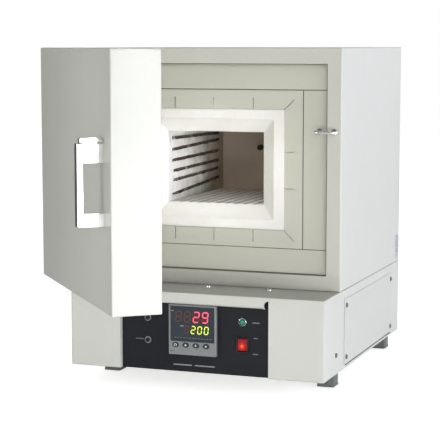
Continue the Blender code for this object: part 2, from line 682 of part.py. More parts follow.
def build_hinge(name, middle):
    z0, z1 = about(middle, HINGE_L / 2)
    low, high = z0 + HINGE_L / 3, z1 - HINGE_L / 3
    leaf = part(f"hinge_leaf_cabinet_{name}", box(LEAF_X, (104.6, 150), (z0, z1), 0.4, 1), STEEL)
    for ends in ((z0, low), (high, z1)):
        add(leaf, box(WEB_X, (104.6, 107.4), ends))
        add(leaf, round_bar("z", HINGE_AXIS, KNUCKLE_R, *ends, 20))
    cut(leaf, box((HINGE_X - 8, -HALF - 3.6), (95, 130), (low - 0.2, high + 0.2)))
    cut(leaf, round_bar("z", HINGE_AXIS, BORE_R, z0 - PAST, z1 + PAST, 16))

    pin = [(z0 - 2.0, 2.2), (z0 - 1.4, 2.9), (z1 + 0.4, 2.9), (z1 + 0.4, 4.6),
           (z1 + 2.2, 4.6), (z1 + 3.0, 3.6)]
    part(f"hinge_pin_{name}", turned("z", HINGE_AXIS, pin, 16), CHROME, smooth=40)

    ends = (low + 0.5, high - 0.5)
    leaf = part(f"hinge_leaf_door_{name}", box(LEAF_X, (62, 101.0), (z0, z1), 0.4, 1),
                STEEL, door_axis)
    add(leaf, box(WEB_X, (98.2, 101.0), ends))
    add(leaf, box(about(HINGE_X, 3), (99.4, 103.0), ends))
    add(leaf, round_bar("z", HINGE_AXIS, KNUCKLE_R, *ends, 20))
    cut(leaf, round_bar("z", HINGE_AXIS, BORE_R, z0 - PAST, z1 + PAST, 16))


# =========================================================================
# Door, drawn shut and turned open by its axis
# =========================================================================
PAN_EDGE = SHEET + 0.4                # from the door's outside to the pan
PAN_FRONT = DOOR_BACK - 1.6
# tapered plug: middle x, half x, half z, y
PLUG = ((0, 124, 100, PAN_FRONT), (0, 124, 100, 108.0), (-3.6, 117.2, 92.0, 112.0),
        (-4.5, 115.2, 90.0, 117.0), (-8.1, 95.6, 67.0, 137.0))
HANDLE_Y = DOOR_FRONT - GAP           # where the arms meet the door
GRIP_FRONT, GRIP_BACK = -33, -22.5
# side view of the handle, y and z: shallow lower arm, deep upper arm, flat grip
HANDLE = ((HANDLE_Y, 348), (HANDLE_Y, 371), (GRIP_BACK, 371), (GRIP_BACK, 455),
          (HANDLE_Y, 455), (HANDLE_Y, 488), (GRIP_FRONT, 488), (GRIP_FRONT, 348))
# catch jaw: y, and distance in z from the striker bar
JAW = ((59.4, 8.6), (59.4, 7.0), (STRIKER_Y + 3, 5.4), (STRIKER_Y + 9, 8.6),
       (STRIKER_Y + 9, 10.2), (STRIKER_Y + 3, 7.0))


def build_door_body():
    sheet_shell("door_shell", (DOOR_FRONT, DOOR_BACK), (DOOR_Z0, DOOR_Z1),
                DOOR_BACK + PAST, DOOR_Z0 + SHEET, door_axis)

    # inner pan with a raised step that sits in the cabinet recess
    pan = part("door_inner_pan",
               box(about(0, HALF - PAN_EDGE), (PAN_FRONT, DOOR_BACK),
                   (DOOR_Z0 + PAN_EDGE, DOOR_Z1 - PAN_EDGE)), PLATE, door_axis)
    add(pan, box(about(0, 220), (DOOR_BACK - 1, 110), (223, 608), 1.5, 2))
    cut(pan, box(about(0, 218.4), (DOOR_BACK - 6, 108.4), (224.6, 606.4)))
    # openings for the plug and the catch
    cut(pan, box(about(0, 125), (90, 120), about(MID_Z, 101)))
    cut(pan, box((198, 249.6), (90, 120), about(STRIKER_Z, 17)))

    wool = part("door_insulation",
                box(about(0, 250), (DOOR_FRONT + 3, DOOR_BACK - 2.0), (DOOR_Z0 + 5, DOOR_Z1 - 5)),
                WOOL, door_axis)
    cut(wool, box((194, 260), (58, 120), about(STRIKER_Z, 20)))


def build_door_plug():
    """Plug that closes the throat, and the flat seal round it."""
    part("door_plug", loft(PLUG), CERAMIC, door_axis)
    seal = part("door_seal", box(about(0, 168), (110.3, 113.6), about(MID_Z, 142), 1.2, 2),
                WOOL, door_axis)
    cut(seal, box(about(0, 154), (100, 120), about(MID_Z, 128)))


def build_door_handle():
    handle = part("door_handle", prism("x", HANDLE, 198.5, 216.0), CHROME, door_axis, smooth=40)
    bevel = handle.modifiers.new("rounded", "BEVEL")
    bevel.width = 0.0012
    bevel.segments = 2
    bevel.limit_method = "ANGLE"


def build_door_catch():
    """Spring clip that snaps over the striker bar."""
    clip = part("door_catch", box((214, 237), (58.4, 60.4), about(STRIKER_Z, 14)),
                STEEL, door_axis)
    for way in (1, -1):
        add(clip, prism("x", [(y, STRIKER_Z + way * z) for y, z in JAW], 216, 235))


def stand_on_origin():
    """Move the root empty so the box round every piece is centred over the
    origin and its feet stand on Z = 0."""
    bpy.context.view_layer.update()
    graph = bpy.context.evaluated_depsgraph_get()
    low, high = Vector([math.inf] * 3), Vector([-math.inf] * 3)
    for obj in scene.objects:
        if obj.type != "MESH" or obj.hide_render:
            continue
        seen = obj.evaluated_get(graph)
        for vert in seen.data.vertices:
            point = seen.matrix_world @ vert.co
            for i in range(3):
                low[i] = min(low[i], point[i])
                high[i] = max(high[i], point[i])
    furnace.location -= Vector(((low.x + high.x) / 2, (low.y + high.y) / 2, low.z))
    bpy.context.view_layer.update()


# Helper names carry a running number, so the order of these calls matters.
build_base_housing()
build_base_tray()
build_base_back()
build_side_covers()
build_ledge_screws()
build_feet()

build_control_panel()
build_controller()
build_pilot_lamp()
build_rocker()
build_fuse_holders()
build_power_regulator()
build_cable_gland()

build_upper_shell()
build_upper_back()
build_trim_strips()
build_face_plate()
build_throat_collar()
build_muffle()
build_hearth()
build_insulation()
build_terminals()
build_striker()

for hinge_name, hinge_middle in HINGES:
    build_hinge(hinge_name, hinge_middle)

build_door_body()
build_door_plug()
build_door_handle()
build_door_catch()
door_axis.rotation_euler.z = math.radians(-DOOR_OPEN)

stand_on_origin()
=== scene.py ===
"""Looks of a benchtop muffle furnace with its door open: materials, fine pieces, stage and light.

Pieces are drawn in furnace millimetres: X right, Y from the front of the base towards the back,
Z up from the bench. Door pieces are drawn with the door shut, then turned open about the hinge.
Shader patterns, lights and the camera work in metres.
"""

import json
import math

import bmesh
import bpy
import numpy as np
from mathutils import Matrix, Vector, noise

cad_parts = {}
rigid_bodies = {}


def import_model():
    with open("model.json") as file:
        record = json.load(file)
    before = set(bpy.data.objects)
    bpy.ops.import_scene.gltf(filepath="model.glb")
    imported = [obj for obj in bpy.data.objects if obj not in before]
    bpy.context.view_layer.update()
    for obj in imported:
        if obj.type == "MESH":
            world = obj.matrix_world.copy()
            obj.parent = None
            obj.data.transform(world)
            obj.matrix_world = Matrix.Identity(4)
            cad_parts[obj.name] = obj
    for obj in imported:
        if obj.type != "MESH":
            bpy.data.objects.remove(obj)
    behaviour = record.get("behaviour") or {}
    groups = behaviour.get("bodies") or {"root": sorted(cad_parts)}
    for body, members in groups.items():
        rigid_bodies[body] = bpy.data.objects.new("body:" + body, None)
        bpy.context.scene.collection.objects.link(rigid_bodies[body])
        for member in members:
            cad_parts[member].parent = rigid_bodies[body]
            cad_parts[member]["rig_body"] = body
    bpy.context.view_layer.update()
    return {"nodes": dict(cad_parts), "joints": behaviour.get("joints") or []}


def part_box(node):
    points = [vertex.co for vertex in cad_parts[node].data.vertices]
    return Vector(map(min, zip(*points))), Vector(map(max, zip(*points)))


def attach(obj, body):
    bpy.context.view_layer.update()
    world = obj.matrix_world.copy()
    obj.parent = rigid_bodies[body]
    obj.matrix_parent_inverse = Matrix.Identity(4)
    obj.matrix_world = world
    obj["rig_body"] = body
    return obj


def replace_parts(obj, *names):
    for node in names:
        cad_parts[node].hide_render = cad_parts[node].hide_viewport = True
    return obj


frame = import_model()
NODES = frame["nodes"]

# --------------------------------------------------------------------------
# Frame of reference
# --------------------------------------------------------------------------
MM = 0.001
BASE_HEIGHT = 34                # underside of the base housing above the bench
SIDES = (("left", -1), ("right", 1))

base_low, base_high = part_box("base_housing")
ORIGIN = Vector(((base_low.x + base_high.x) / 2, base_low.y, base_low.z - BASE_HEIGHT * MM))
CABINET = Matrix.Translation(ORIGIN) @ Matrix.Scale(MM, 4)
SWING = next(joint for joint in frame["joints"] if joint["name"] == "door_swing")
HINGE = Matrix.Translation(Vector(SWING["pos_m"]))
OPENING = Matrix.Rotation(math.radians(SWING["range_deg"][0]), 4, "Z")
DOOR = HINGE @ OPENING @ HINGE.inverted() @ CABINET


# --------------------------------------------------------------------------
# Mesh helpers: each returns a bmesh or points in furnace millimetres
# --------------------------------------------------------------------------
def on_axis(axis, along, u, w):
    """Point at a distance along an axis; u and w are its other coordinates, in XYZ order."""
    return {"x": (along, u, w), "y": (u, along, w), "z": (u, w, along)}[axis]


def circle(axis, centre, along, radius, count, phase=0.0, squash=1.0):
    turns = [2 * math.pi * (i + phase) / count for i in range(count)]
    return [on_axis(axis, along, centre[0] + radius * math.cos(t),
                    centre[1] + radius * squash * math.sin(t)) for t in turns]


def skin(loops, closed=False, caps_first=False):
    """Joins loops of equally many points in turn; closed joins the last to the first."""
    bm = bmesh.new()
    rings = [[bm.verts.new(point) for point in loop] for loop in loops]
    caps = [] if closed else [rings[0], rings[-1]]
    sides = []
    for one, two in zip(rings, rings[1:] + (rings[:1] if closed else [])):
        sides += zip(one, one[1:] + one[:1], two[1:] + two[:1], two)
    for face in caps + sides if caps_first else sides + caps:
        bm.faces.new(face)
    bmesh.ops.recalc_face_normals(bm, faces=bm.faces)
    return bm


def turned(axis, centre, profile, count=48, squash=1.0):
    """Closed turned piece from (distance along the axis, radius)."""
    return skin([circle(axis, centre, along, radius, count, 0.5, squash)
                 for along, radius in profile], caps_first=True)


def turned_ring(axis, centre, profile, count=64):
    """Turned ring: the profile (distance, radius) is a closed loop that stays off the axis."""
    return skin([circle(axis, centre, along, radius, count) for along, radius in profile],
                closed=True)


def ease(bm, edges, radius, segments):
    bmesh.ops.bevel(bm, geom=edges, offset=radius, segments=segments, profile=0.5,
                    affect="EDGES", clamp_overlap=True)


def block(x_span, y_span, z_span, radius=0.0, segments=3):
    bm = bmesh.new()
    bmesh.ops.create_cube(bm, size=1.0)
    for v in bm.verts:
        v.co = [low + (c + 0.5) * (high - low)
                for c, (low, high) in zip(v.co, (x_span, y_span, z_span))]
    if radius:
        ease(bm, list(bm.edges), radius, segments)
    return bm


def prism(axis, points, start, end):
    """Polygon in the two other axes, pushed from start to end."""
    bm = bmesh.new()
    face = bm.faces.new([bm.verts.new(on_axis(axis, start, u, w)) for u, w in points])
    made = bmesh.ops.extrude_face_region(bm, geom=[face])
    for v in made["geom"]:
        if isinstance(v, bmesh.types.BMVert):
            v.co = v.co + Vector(on_axis(axis, end - start, 0, 0))
    bmesh.ops.recalc_face_normals(bm, faces=bm.faces)
    return bm


def merged(*parts):
    whole = bmesh.new()
    for bm in parts:
        mesh = bpy.data.meshes.new("tmp")
        bm.to_mesh(mesh)
        bm.free()
        whole.from_mesh(mesh)
        bpy.data.meshes.remove(mesh)
    return whole


def moved(bm, matrix):
    bmesh.ops.transform(bm, matrix=matrix, verts=bm.verts)
    return bm


def between(one, two, steps):
    """Even steps from one tuple to the other, without the first and with the last."""
    return [tuple(a + (b - a) * k / steps for a, b in zip(one, two)) for k in range(1, steps + 1)]


def rounded_rect(half_x, half_z, radius, step=math.inf, corner=4):
    """Rounded rectangle about the origin, with points about a step apart along its sides."""
    flat_x, flat_z = 2 * (half_x - radius), 2 * (half_z - radius)
    count_x, count_z = max(1, round(flat_x / step)), max(1, round(flat_z / step))
    cx, cz = half_x - radius, half_z - radius
    # corner centre, its first angle, then count, direction and length of the side after it
    quarters = ((cx, -cz, -90, count_z, 0, 1, flat_z), (cx, cz, 0, count_x, -1, 0, flat_x),
                (-cx, cz, 90, count_z, 0, -1, flat_z), (-cx, -cz, 180, count_x, 1, 0, flat_x))
    points = []
    for cx, cz, first, count, way_x, way_z, length in quarters:
        for k in range(corner + 1):
            t = math.radians(first + 90 * k / corner)
            points.append((cx + radius * math.cos(t), cz + radius * math.sin(t)))
        x, z = points[-1]
        for k in range(1, count):
            points.append((x + way_x * length * k / count, z + way_z * length * k / count))
    return points


def rough_up(bm, amount, scale, seed, keep):
    """Moves points along their normals by smooth noise: amount in mm, scale in 1/mm."""
    bm.normal_update()
    shift = Vector((seed * 13.7, seed * 5.1, seed * 9.3))
    for v in bm.verts:
        reach = amount * keep(v.co)
        if reach:
            coarse = noise.noise(v.co * scale + shift)
            v.co = v.co + v.normal * reach * (
                coarse + 0.5 * noise.noise(v.co * scale * 2.7 + shift))


# --------------------------------------------------------------------------
# Placing pieces
# --------------------------------------------------------------------------
def add_piece(name, bm, look, smooth, body, flat=False):
    """Makes an object from a bmesh in metres, riding on its body."""
    mesh = bpy.data.meshes.new(name)
    bm.normal_update()
    bm.to_mesh(mesh)
    bm.free()
    mesh.materials.append(look.material)
    obj = bpy.data.objects.new(name, mesh)
    bpy.context.scene.collection.objects.link(obj)
    if smooth:
        mesh.shade_smooth()
        mesh.set_sharp_from_angle(angle=math.radians(smooth))
    if flat:
        modifier = obj.modifiers.new("flat_faces", "WEIGHTED_NORMAL")
        modifier.keep_sharp = True
    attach(obj, body)
    return obj


def put(name, bm, look, slot, smooth=35, body="cabinet", flat=False):
    """Places a piece drawn in furnace millimetres; smooth is the sharp-edge angle, 0 for flat."""
    bm.transform(DOOR if body == "door" else CABINET)
    return add_piece(name, bm, look, smooth, body, flat)


def stand_in(node, *piece, **options):
    """Places a finer piece that takes a CAD node's place."""
    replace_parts(put(f"{node}_fine", *piece, **options), node)


def refine(node, look):
    """A welded copy of a CAD node with smooth round faces, standing for it."""
    source = NODES[node]
    bm = bmesh.new()
    bm.from_mesh(source.data)
    bmesh.ops.remove_doubles(bm, verts=bm.verts, dist=0.00002)
    bmesh.ops.dissolve_limit(bm, angle_limit=math.radians(0.6), verts=bm.verts, edges=bm.edges)
    obj = add_piece(f"{node}_fine", bm, look, 40, source["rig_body"])
    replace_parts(obj, node)


# --------------------------------------------------------------------------
# Shader helpers
# --------------------------------------------------------------------------
def tone(rgb, factor):
    return tuple(min(1.0, c * factor) for c in rgb)


def rgba(value):
    return (*value, 1) if isinstance(value, tuple) and len(value) == 3 else value


class Nodes:
    """Short forms for the nodes of one tree. A value may be a constant or another output."""

    def __init__(self, tree):
        self.tree = tree
        self.object_coords = None

    def feed(self, socket, value):
        if hasattr(value, "is_output"):
            self.tree.links.new(value, socket)
        elif value is not None:
            socket.default_value = value

    def add(self, kind, sockets={}, **settings):
        node = self.tree.nodes.new("ShaderNode" + kind)
        for key, value in settings.items():
            setattr(node, key, value)
        for key, value in sockets.items():
            self.feed(node.inputs[key], value)
        return node

    def coords(self):
        if self.object_coords is None:
            self.object_coords = self.add("TexCoord").outputs["Object"]
        return self.object_coords

    def mapped(self, scale=(1, 1, 1), turn=(0, 0, 0), shift=(0, 0, 0)):
        return self.add("Mapping", {"Scale": scale, "Rotation": turn, "Location": shift,
                                    "Vector": self.coords()}).outputs[0]

    def noise(self, scale, detail=2.0, fine=0.5, vector=None):
        return self.add("TexNoise", {"Scale": scale, "Detail": detail, "Roughness": fine,
                                     "Vector": vector or self.coords()}).outputs["Fac"]

    def cloud(self, scale, detail, span=(0.3, 0.7), to=(0, 1), fine=0.5, vector=None,
              smooth=False):
        """Noise with its span stretched over another range."""
        return self.fit(self.noise(scale, detail, fine, vector), span, to, smooth)

    def cells(self, scale, span, to=(0, 1), smooth=False):
        """Distance to scattered points, stretched over another range."""
        node = self.add("TexVoronoi", {"Scale": scale, "Vector": self.coords()})
        return self.fit(node.outputs["Distance"], span, to, smooth)

    def part(self, vector, which):
        return self.add("SeparateXYZ", {0: vector}).outputs["XYZ".index(which)]

    def axis(self, which):
        return self.part(self.coords(), which)

    def facing(self, which):
        """Share of the surface normal along an axis."""
        return self.part(self.add("NewGeometry").outputs["Normal"], which)

    def length(self, vector):
        return self.add("VectorMath", {0: vector}, operation="LENGTH").outputs["Value"]

    def fit(self, value, span, to=(0, 1), smooth=False):
        sockets = {0: value, 1: span[0], 2: span[1], 3: to[0], 4: to[1]}
        kind = "SMOOTHSTEP" if smooth else "LINEAR"
        return self.add("MapRange", sockets, interpolation_type=kind).outputs[0]

    def math(self, operation, a, b=None, clamp=False):
        return self.add("Math", {0: a, 1: b}, operation=operation, use_clamp=clamp).outputs[0]

    def times(self, a, b):
        return self.math("MULTIPLY", a, b)

    def mix(self, share, a, b):
        """Colour a turning into b."""
        sockets = {0: share, 6: rgba(a), 7: rgba(b)}
        return self.add("Mix", sockets, data_type="RGBA").outputs[2]

    def mix_values(self, share, a, b):
        return self.add("Mix", {0: share, 2: a, 3: b}, data_type="FLOAT").outputs[0]

    def bump(self, height, strength, distance, over=None):
        return self.add("Bump", {"Strength": strength, "Distance": distance, "Height": height,
                                 "Normal": over}).outputs[0]

    def grain(self, scale, detail, strength, distance, fine=0.5, vector=None, over=None):
        """Bump from noise."""
        return self.bump(self.noise(scale, detail, fine, vector), strength, distance, over)


class Look(Nodes):
    """A Principled material; its patterns are in row-frame metres."""

    def __init__(self, name, rgb, roughness=0.5, metallic=0.0, specular=0.5, coat=0.0,
                 coat_roughness=0.1):
        self.material = bpy.data.materials.new(name)
        self.material.use_nodes = True
        super().__init__(self.material.node_tree)
        self.shader = self.tree.nodes["Principled BSDF"]
        self.set("Base Color", rgb)
        self.set("Roughness", roughness)
        self.set("Metallic", metallic)
        self.set("Specular IOR Level", specular)
        self.set("Coat Weight", coat)
        self.set("Coat Roughness", coat_roughness)
        self.material.diffuse_color = rgba(rgb)

    def set(self, socket, value):
        self.feed(self.shader.inputs[socket], rgba(value))

    def mottle(self, dark, light, scale, detail):
        """Base colour drifting between two colours."""
        self.set("Base Color", self.mix(self.cloud(scale, detail), dark, light))

    def finish(self, normal):
        self.set("Normal", normal)
        return self


# --------------------------------------------------------------------------
# Materials
# --------------------------------------------------------------------------
def enamel(name, rgb, roughness=0.40, level=None, foot=None, side=None):
    """Stoved enamel on sheet steel: slow colour drift, faint orange peel, dull handled patches.
    level is the tone of painted shade on faces that look up, foot the height above which the painted
    shade low on the front fades out, side a cooler colour painted on faces that look sideways for the
    cooler light from the right."""
    look = Look(name, rgb, roughness)
    drift = look.cloud(scale=4.0, detail=3, span=(0.32, 0.68))
    base = look.mix(drift, tone(rgb, 0.975), tone(rgb, 1.02))
    # Painted shade: faces that look up are darkened to the level tone.
    if level:
        base = look.mix(look.fit(look.facing("Z"), span=(0.7, 0.98)), base, tone(rgb, level))
    # Painted light: faces that look sideways take the cooler side colour, for the cooler light from the
    # right.
    if side:
        sideways = look.math("ABSOLUTE", look.facing("X"))
        base = look.mix(look.fit(sideways, span=(0.85, 0.99)), base, side)
    # Painted shade: the front darkens towards the foot height by the ledge, weaker towards the right.
    if foot:
        low = look.fit(look.axis("Z"), span=(foot, foot + 0.032), to=(1, 0), smooth=True)
        front = look.fit(look.facing("Y"), span=(-0.98, -0.6), to=(1, 0))
        fading = look.fit(look.axis("X"), span=(0.13, 0.28), to=(1.0, 0.35))
        base = look.mix(look.times(look.times(low, front), fading), base, tone(rgb, 0.66))
    look.set("Base Color", base)
    look.set("Roughness", look.cloud(
        scale=9.0, detail=4, fine=0.6, vector=look.mapped(shift=(3.1, 1.7, 0.4)),
        span=(0.3, 0.72), to=(roughness - 0.05, roughness + 0.07)))
    peel = look.grain(scale=520.0, detail=2, fine=0.45, strength=0.05, distance=0.0006)
    return look.finish(look.grain(scale=2600.0, detail=1, strength=0.03, distance=0.0002,
                                  over=peel))


def satin_black(name, rgb, roughness, specular=0.4):
    look = Look(name, rgb, roughness, specular=specular)
    look.mottle(tone(rgb, 0.85), tone(rgb, 1.2), scale=7, detail=3)
    look.set("Roughness", look.cloud(scale=60, detail=3, to=(roughness - 0.05, roughness + 0.07)))
    return look.finish(look.grain(scale=1500, detail=2, strength=0.12, distance=0.0003))


def ceramic(name, rgb, warm, stains):
    """Vacuum-formed fibre ceramic: chalky, with short fibres, pits and faint warm stains."""
    look = Look(name, rgb, roughness=0.95, specular=0.15)
    stain = look.cloud(scale=14, detail=5, fine=0.62, span=(0.42, 0.72), to=(0, stains),
                       smooth=True)
    base = look.mix(stain, rgb, warm)
    specks = look.cells(scale=420, span=(0.02, 0.12), to=(1, 0), smooth=True)
    patches = look.cloud(scale=130, detail=2, span=(0.56, 0.66), to=(0, 0.35))
    look.set("Base Color", look.mix(look.times(specks, patches), base, tone(warm, 0.55)))
    fibres = look.grain(scale=340, detail=5, fine=0.7, strength=0.275, distance=0.0009,
                        vector=look.mapped(scale=(1, 1, 2.6), turn=(0.3, 0.2, 0.5)))
    chalk = look.grain(scale=1500, detail=3, fine=0.7, strength=0.28, distance=0.0004,
                       over=fibres)
    pits = look.cells(scale=170, span=(0.0, 0.35))
    return look.finish(look.bump(pits, strength=0.125, distance=0.0008, over=chalk))


def chamber(name, front, rear, near, far, groove=None, end=None):
    """Fired refractory, pale at the mouth (Y near), darker and browner towards the rear (Y far): partly
    painted shade deeper in the chamber, partly browning of the fired board.
    groove is the height of a grooved top, end the tone right at the back."""
    look = Look(name, front, roughness=0.95, specular=0.1)
    # Painted shade: the colour runs from the front tone to the rear tone deeper into the chamber, partly
    # for the fired board's browning.
    depth = look.fit(look.axis("Y"), span=(near, far), smooth=True)
    uneven = look.cloud(scale=26, detail=5, fine=0.65, span=(0.3, 0.72), to=(-0.18, 0.18))
    base = look.mix(look.math("ADD", depth, uneven, clamp=True), front, rear)
    if end:
        back = look.fit(look.axis("Y"), span=(far - 0.07, far + 0.03), smooth=True)
        base = look.mix(back, base, end)
    soot = look.cloud(scale=70, detail=5, fine=0.7, span=(0.55, 0.78), to=(0, 0.35))
    base = look.mix(soot, base, tone(rear, 0.7))
    if groove:      # painted shade at the bottom of the grooves
        deep = look.fit(look.axis("Z"), span=(groove - 0.0036, groove - 0.0004), to=(1, 0))
        base = look.mix(deep, base, (0.085, 0.062, 0.047))
    look.set("Base Color", base)
    coarse = look.grain(scale=300, detail=5, fine=0.7, strength=0.45, distance=0.001)
    pits = look.cells(scale=260, span=(0.0, 0.3))
    return look.finish(look.bump(pits, strength=0.3, distance=0.0007, over=coarse))


def metal(name, rgb, roughness, brush=None, scuff=0.06, spread=0.04):
    """Bare metal; brush stretches its grain along an axis, spread varies its roughness."""
    look = Look(name, rgb, roughness, metallic=1.0)
    look.mottle(tone(rgb, 0.94), tone(rgb, 1.03), scale=40, detail=3)
    look.set("Roughness", look.cloud(scale=110, detail=4, fine=0.6, span=(0.3, 0.72),
                                     to=(roughness - spread, roughness + spread * 1.5)))
    if brush:
        return look.finish(look.grain(scale=1, detail=3, strength=scuff, distance=0.0002,
                                      vector=look.mapped(brush)))
    return look.finish(look.grain(scale=900, detail=2, strength=scuff, distance=0.0001))


def plastic(name, rgb, roughness=0.5, grain=0.12):
    look = Look(name, rgb, roughness, specular=0.45)
    look.mottle(tone(rgb, 0.95), tone(rgb, 1.05), scale=55, detail=3)
    look.set("Roughness", look.cloud(scale=160, detail=3, to=(roughness - 0.06, roughness + 0.08)))
    return look.finish(look.grain(scale=2600, detail=2, fine=0.6, strength=grain,
                                  distance=0.0002))


def glow(name, rgb, strength):
    look = Look(name, tone(rgb, 0.6), roughness=0.3)
    look.mottle(tone(rgb, 0.5), tone(rgb, 0.7), scale=500, detail=2)
    look.set("Emission Color", rgb)
    look.set("Emission Strength", strength)
    return look


def wool(name, rgb):
    look = Look(name, rgb, roughness=1.0, specular=0.05)
    look.mottle(tone(rgb, 0.9), tone(rgb, 1.04), scale=30, detail=4)
    look.set("Sheen Weight", 0.25)
    tufts = look.grain(scale=220, detail=6, fine=0.75, strength=0.7, distance=0.002,
                       vector=look.mapped(scale=(1, 1, 4)))
    return look.finish(look.grain(scale=1200, detail=3, strength=0.4, distance=0.0006,
                                  over=tufts))


def braid(name, rgb):
    """Woven ceramic tape: two slanted sets of strands."""
    look = Look(name, rgb, roughness=0.95, specular=0.1)
    sets = [look.add("TexWave", {"Scale": 55, "Distortion": 1.5, "Detail": 2,
                                 "Vector": look.mapped(turn=(0.2, slant, 0.1))}).outputs["Fac"]
            for slant in (0.785, -0.785)]
    strands = look.math("MAXIMUM", *sets)
    look.set("Base Color", look.mix(look.fit(strands, span=(0.35, 0.95)), tone(rgb, 0.62), rgb))
    look.set("Sheen Weight", 0.2)
    return look.finish(look.bump(strands, strength=0.8, distance=0.0012))


def oxidised_wire(name):
    look = Look(name, (0.08, 0.06, 0.05), roughness=0.6, metallic=0.55, specular=0.4)
    look.mottle((0.045, 0.036, 0.033), (0.15, 0.11, 0.085), scale=160, detail=4)
    look.set("Roughness", look.cloud(scale=500, detail=3, to=(0.45, 0.8)))
    return look.finish(look.grain(scale=2200, detail=3, strength=0.3, distance=0.0002))


def green_lens(name, centre):
    """Green lens with fine rings about its centre, brighter in the middle."""
    look = Look(name, (0.010, 0.30, 0.16), roughness=0.12, coat=0.35, coat_roughness=0.05)
    vector = look.mapped(shift=(-centre.x, 0, -centre.z))
    flat = look.add("VectorMath", {0: vector, 1: (1, 0, 1)}, operation="MULTIPLY").outputs[0]
    radius = look.length(flat)
    ring_pitch = 0.0017
    rings = look.math("SINE", look.times(radius, 2 * math.pi / ring_pitch))
    colour = look.mix(look.fit(radius, span=(0.0, 0.0058)),
                      (0.012, 0.26, 0.15), (0.003, 0.09, 0.05))
    crests = look.fit(rings, span=(-1, 1), to=(0, 0.30))
    look.set("Base Color", look.mix(crests, colour, (0.07, 0.42, 0.28)))
    look.set("Emission Color", (0.02, 0.55, 0.30))
    look.set("Emission Strength", look.fit(radius, span=(0.0, 0.0055), to=(0.14, 0.02)))
    return look.finish(look.bump(rings, strength=0.25, distance=0.0003))


def red_lens(name, lamp, top_low, top_high):
    """Red key lit from a lamp behind it, and darker between two heights near its top."""
    look = Look(name, (0.42, 0.010, 0.012), roughness=0.28, specular=0.25, coat=0.1,
                coat_roughness=0.08)
    squeeze = 1.15
    distance = look.length(look.mapped(scale=(squeeze, 0, 1.0),
                                       shift=(-lamp.x * squeeze, 0, -lamp.z)))
    near = look.fit(distance, span=(0.0, 0.0042), to=(1, 0), smooth=True)
    wide = look.fit(distance, span=(0.001, 0.0135), to=(1, 0), smooth=True)
    top = look.fit(look.axis("Z"), span=(top_low, top_high), smooth=True)
    colour = look.mix(wide, (0.10, 0.001, 0.004), (0.78, 0.016, 0.004))
    colour = look.mix(near, colour, (1.0, 0.33, 0.10))
    look.set("Emission Color", look.mix(top, colour, (0.20, 0.010, 0.026)))
    look.set("Emission Strength", look.fit(near, span=(0, 1), to=(0.80, 1.15)))
    look.mottle((0.13, 0.003, 0.004), (0.18, 0.005, 0.006), scale=600, detail=2)
    return look.finish(look.grain(scale=900, detail=2, strength=0.04, distance=0.0002))


PAINT = (0.655, 0.646, 0.575)
CASE = enamel("case_enamel_look", PAINT)
# The upper shell's front gets painted shade low down, and its sideways faces a cooler painted tone.
FRONT = enamel("front_enamel_look", PAINT, foot=0.200, side=(0.647, 0.648, 0.602))
# The base's upward faces, the ledge among them, get painted shade through level.
BASE = enamel("base_enamel_look", (0.645, 0.648, 0.600), level=0.69)
DOOR_ENAMEL = enamel("door_enamel_look", (0.573, 0.573, 0.527))
COVER = enamel("cover_enamel_look", (0.63, 0.63, 0.585))
PLATE = enamel("plate_enamel_look", (0.630, 0.630, 0.540), roughness=0.46)
BLACK = satin_black("panel_black_look", (0.0125, 0.0145, 0.0185), 0.52, specular=0.22)
MOULDING = satin_black("black_moulding_look", (0.012, 0.012, 0.013), 0.42)

THROAT = ceramic("throat_ceramic_look", (0.93, 0.92, 0.875), (0.86, 0.80, 0.69), stains=0.35)
PLUG = ceramic("plug_ceramic_look", (0.84, 0.82, 0.77), (0.70, 0.60, 0.47), stains=0.6)
BOARD = ceramic("board_ceramic_look", (0.78, 0.76, 0.70), (0.62, 0.54, 0.42), stains=0.5)
SHEATH = ceramic("probe_sheath_look", (0.13, 0.10, 0.08), (0.07, 0.05, 0.04), stains=0.5)

CHROME = metal("bright_steel_look", (0.90, 0.90, 0.895), 0.09, scuff=0.03)
HANDLE = metal("handle_steel_look", (0.92, 0.92, 0.92), 0.20, scuff=0.01, spread=0.012)
ZINC = metal("zinc_steel_look", (0.55, 0.56, 0.57), 0.34, scuff=0.12)
DARK_SCREW = metal("blackened_screw_look", (0.23, 0.235, 0.24), 0.38, scuff=0.12)
ALUMINIUM = metal("finned_aluminium_look", (0.62, 0.63, 0.64), 0.38, brush=(60, 2500, 60))
TAG = metal("rating_plate_look", (0.80, 0.83, 0.88), 0.5, brush=(2, 2, 900))

BEZEL = plastic("meter_case_look", (0.235, 0.245, 0.25), 0.48)
WINDOW = plastic("meter_window_look", (0.030, 0.043, 0.055), 0.16, grain=0.01)
WINDOW_RIM = plastic("meter_window_rim_look", (0.012, 0.018, 0.024), 0.3, grain=0.02)
KEY = plastic("key_rubber_look", (0.020, 0.036, 0.042), 0.55)
PRINT = plastic("pale_print_look", (0.42, 0.43, 0.44), 0.7)
TITLE = plastic("title_print_look", (0.27, 0.28, 0.29), 0.7)
FAINT_PRINT = plastic("faint_print_look", (0.16, 0.18, 0.20), 0.7)
ICON = plastic("key_icon_look", (0.72, 0.74, 0.75), 0.6)
FOOT = plastic("foot_moulding_look", (0.160, 0.175, 0.172), 0.55, grain=0.3)
FUSE_RING = plastic("fuse_ring_look", (0.30, 0.30, 0.31), 0.45)
TAG_PRINT = plastic("rating_plate_print_look", (0.30, 0.34, 0.40), 0.6)
# Dark colour for painted shade in the joints between plates and along the side covers.
SEAM_SHADE = plastic("seam_look", (0.055, 0.055, 0.042), 0.8)
# Dark olive for the painted shade along the edges of the recess.
RECESS_SHADE = plastic("return_edge_look", (0.15, 0.148, 0.105), 0.7)
ROCKER_MARK = plastic("rocker_mark_look", (0.45, 0.10, 0.09), 0.5)

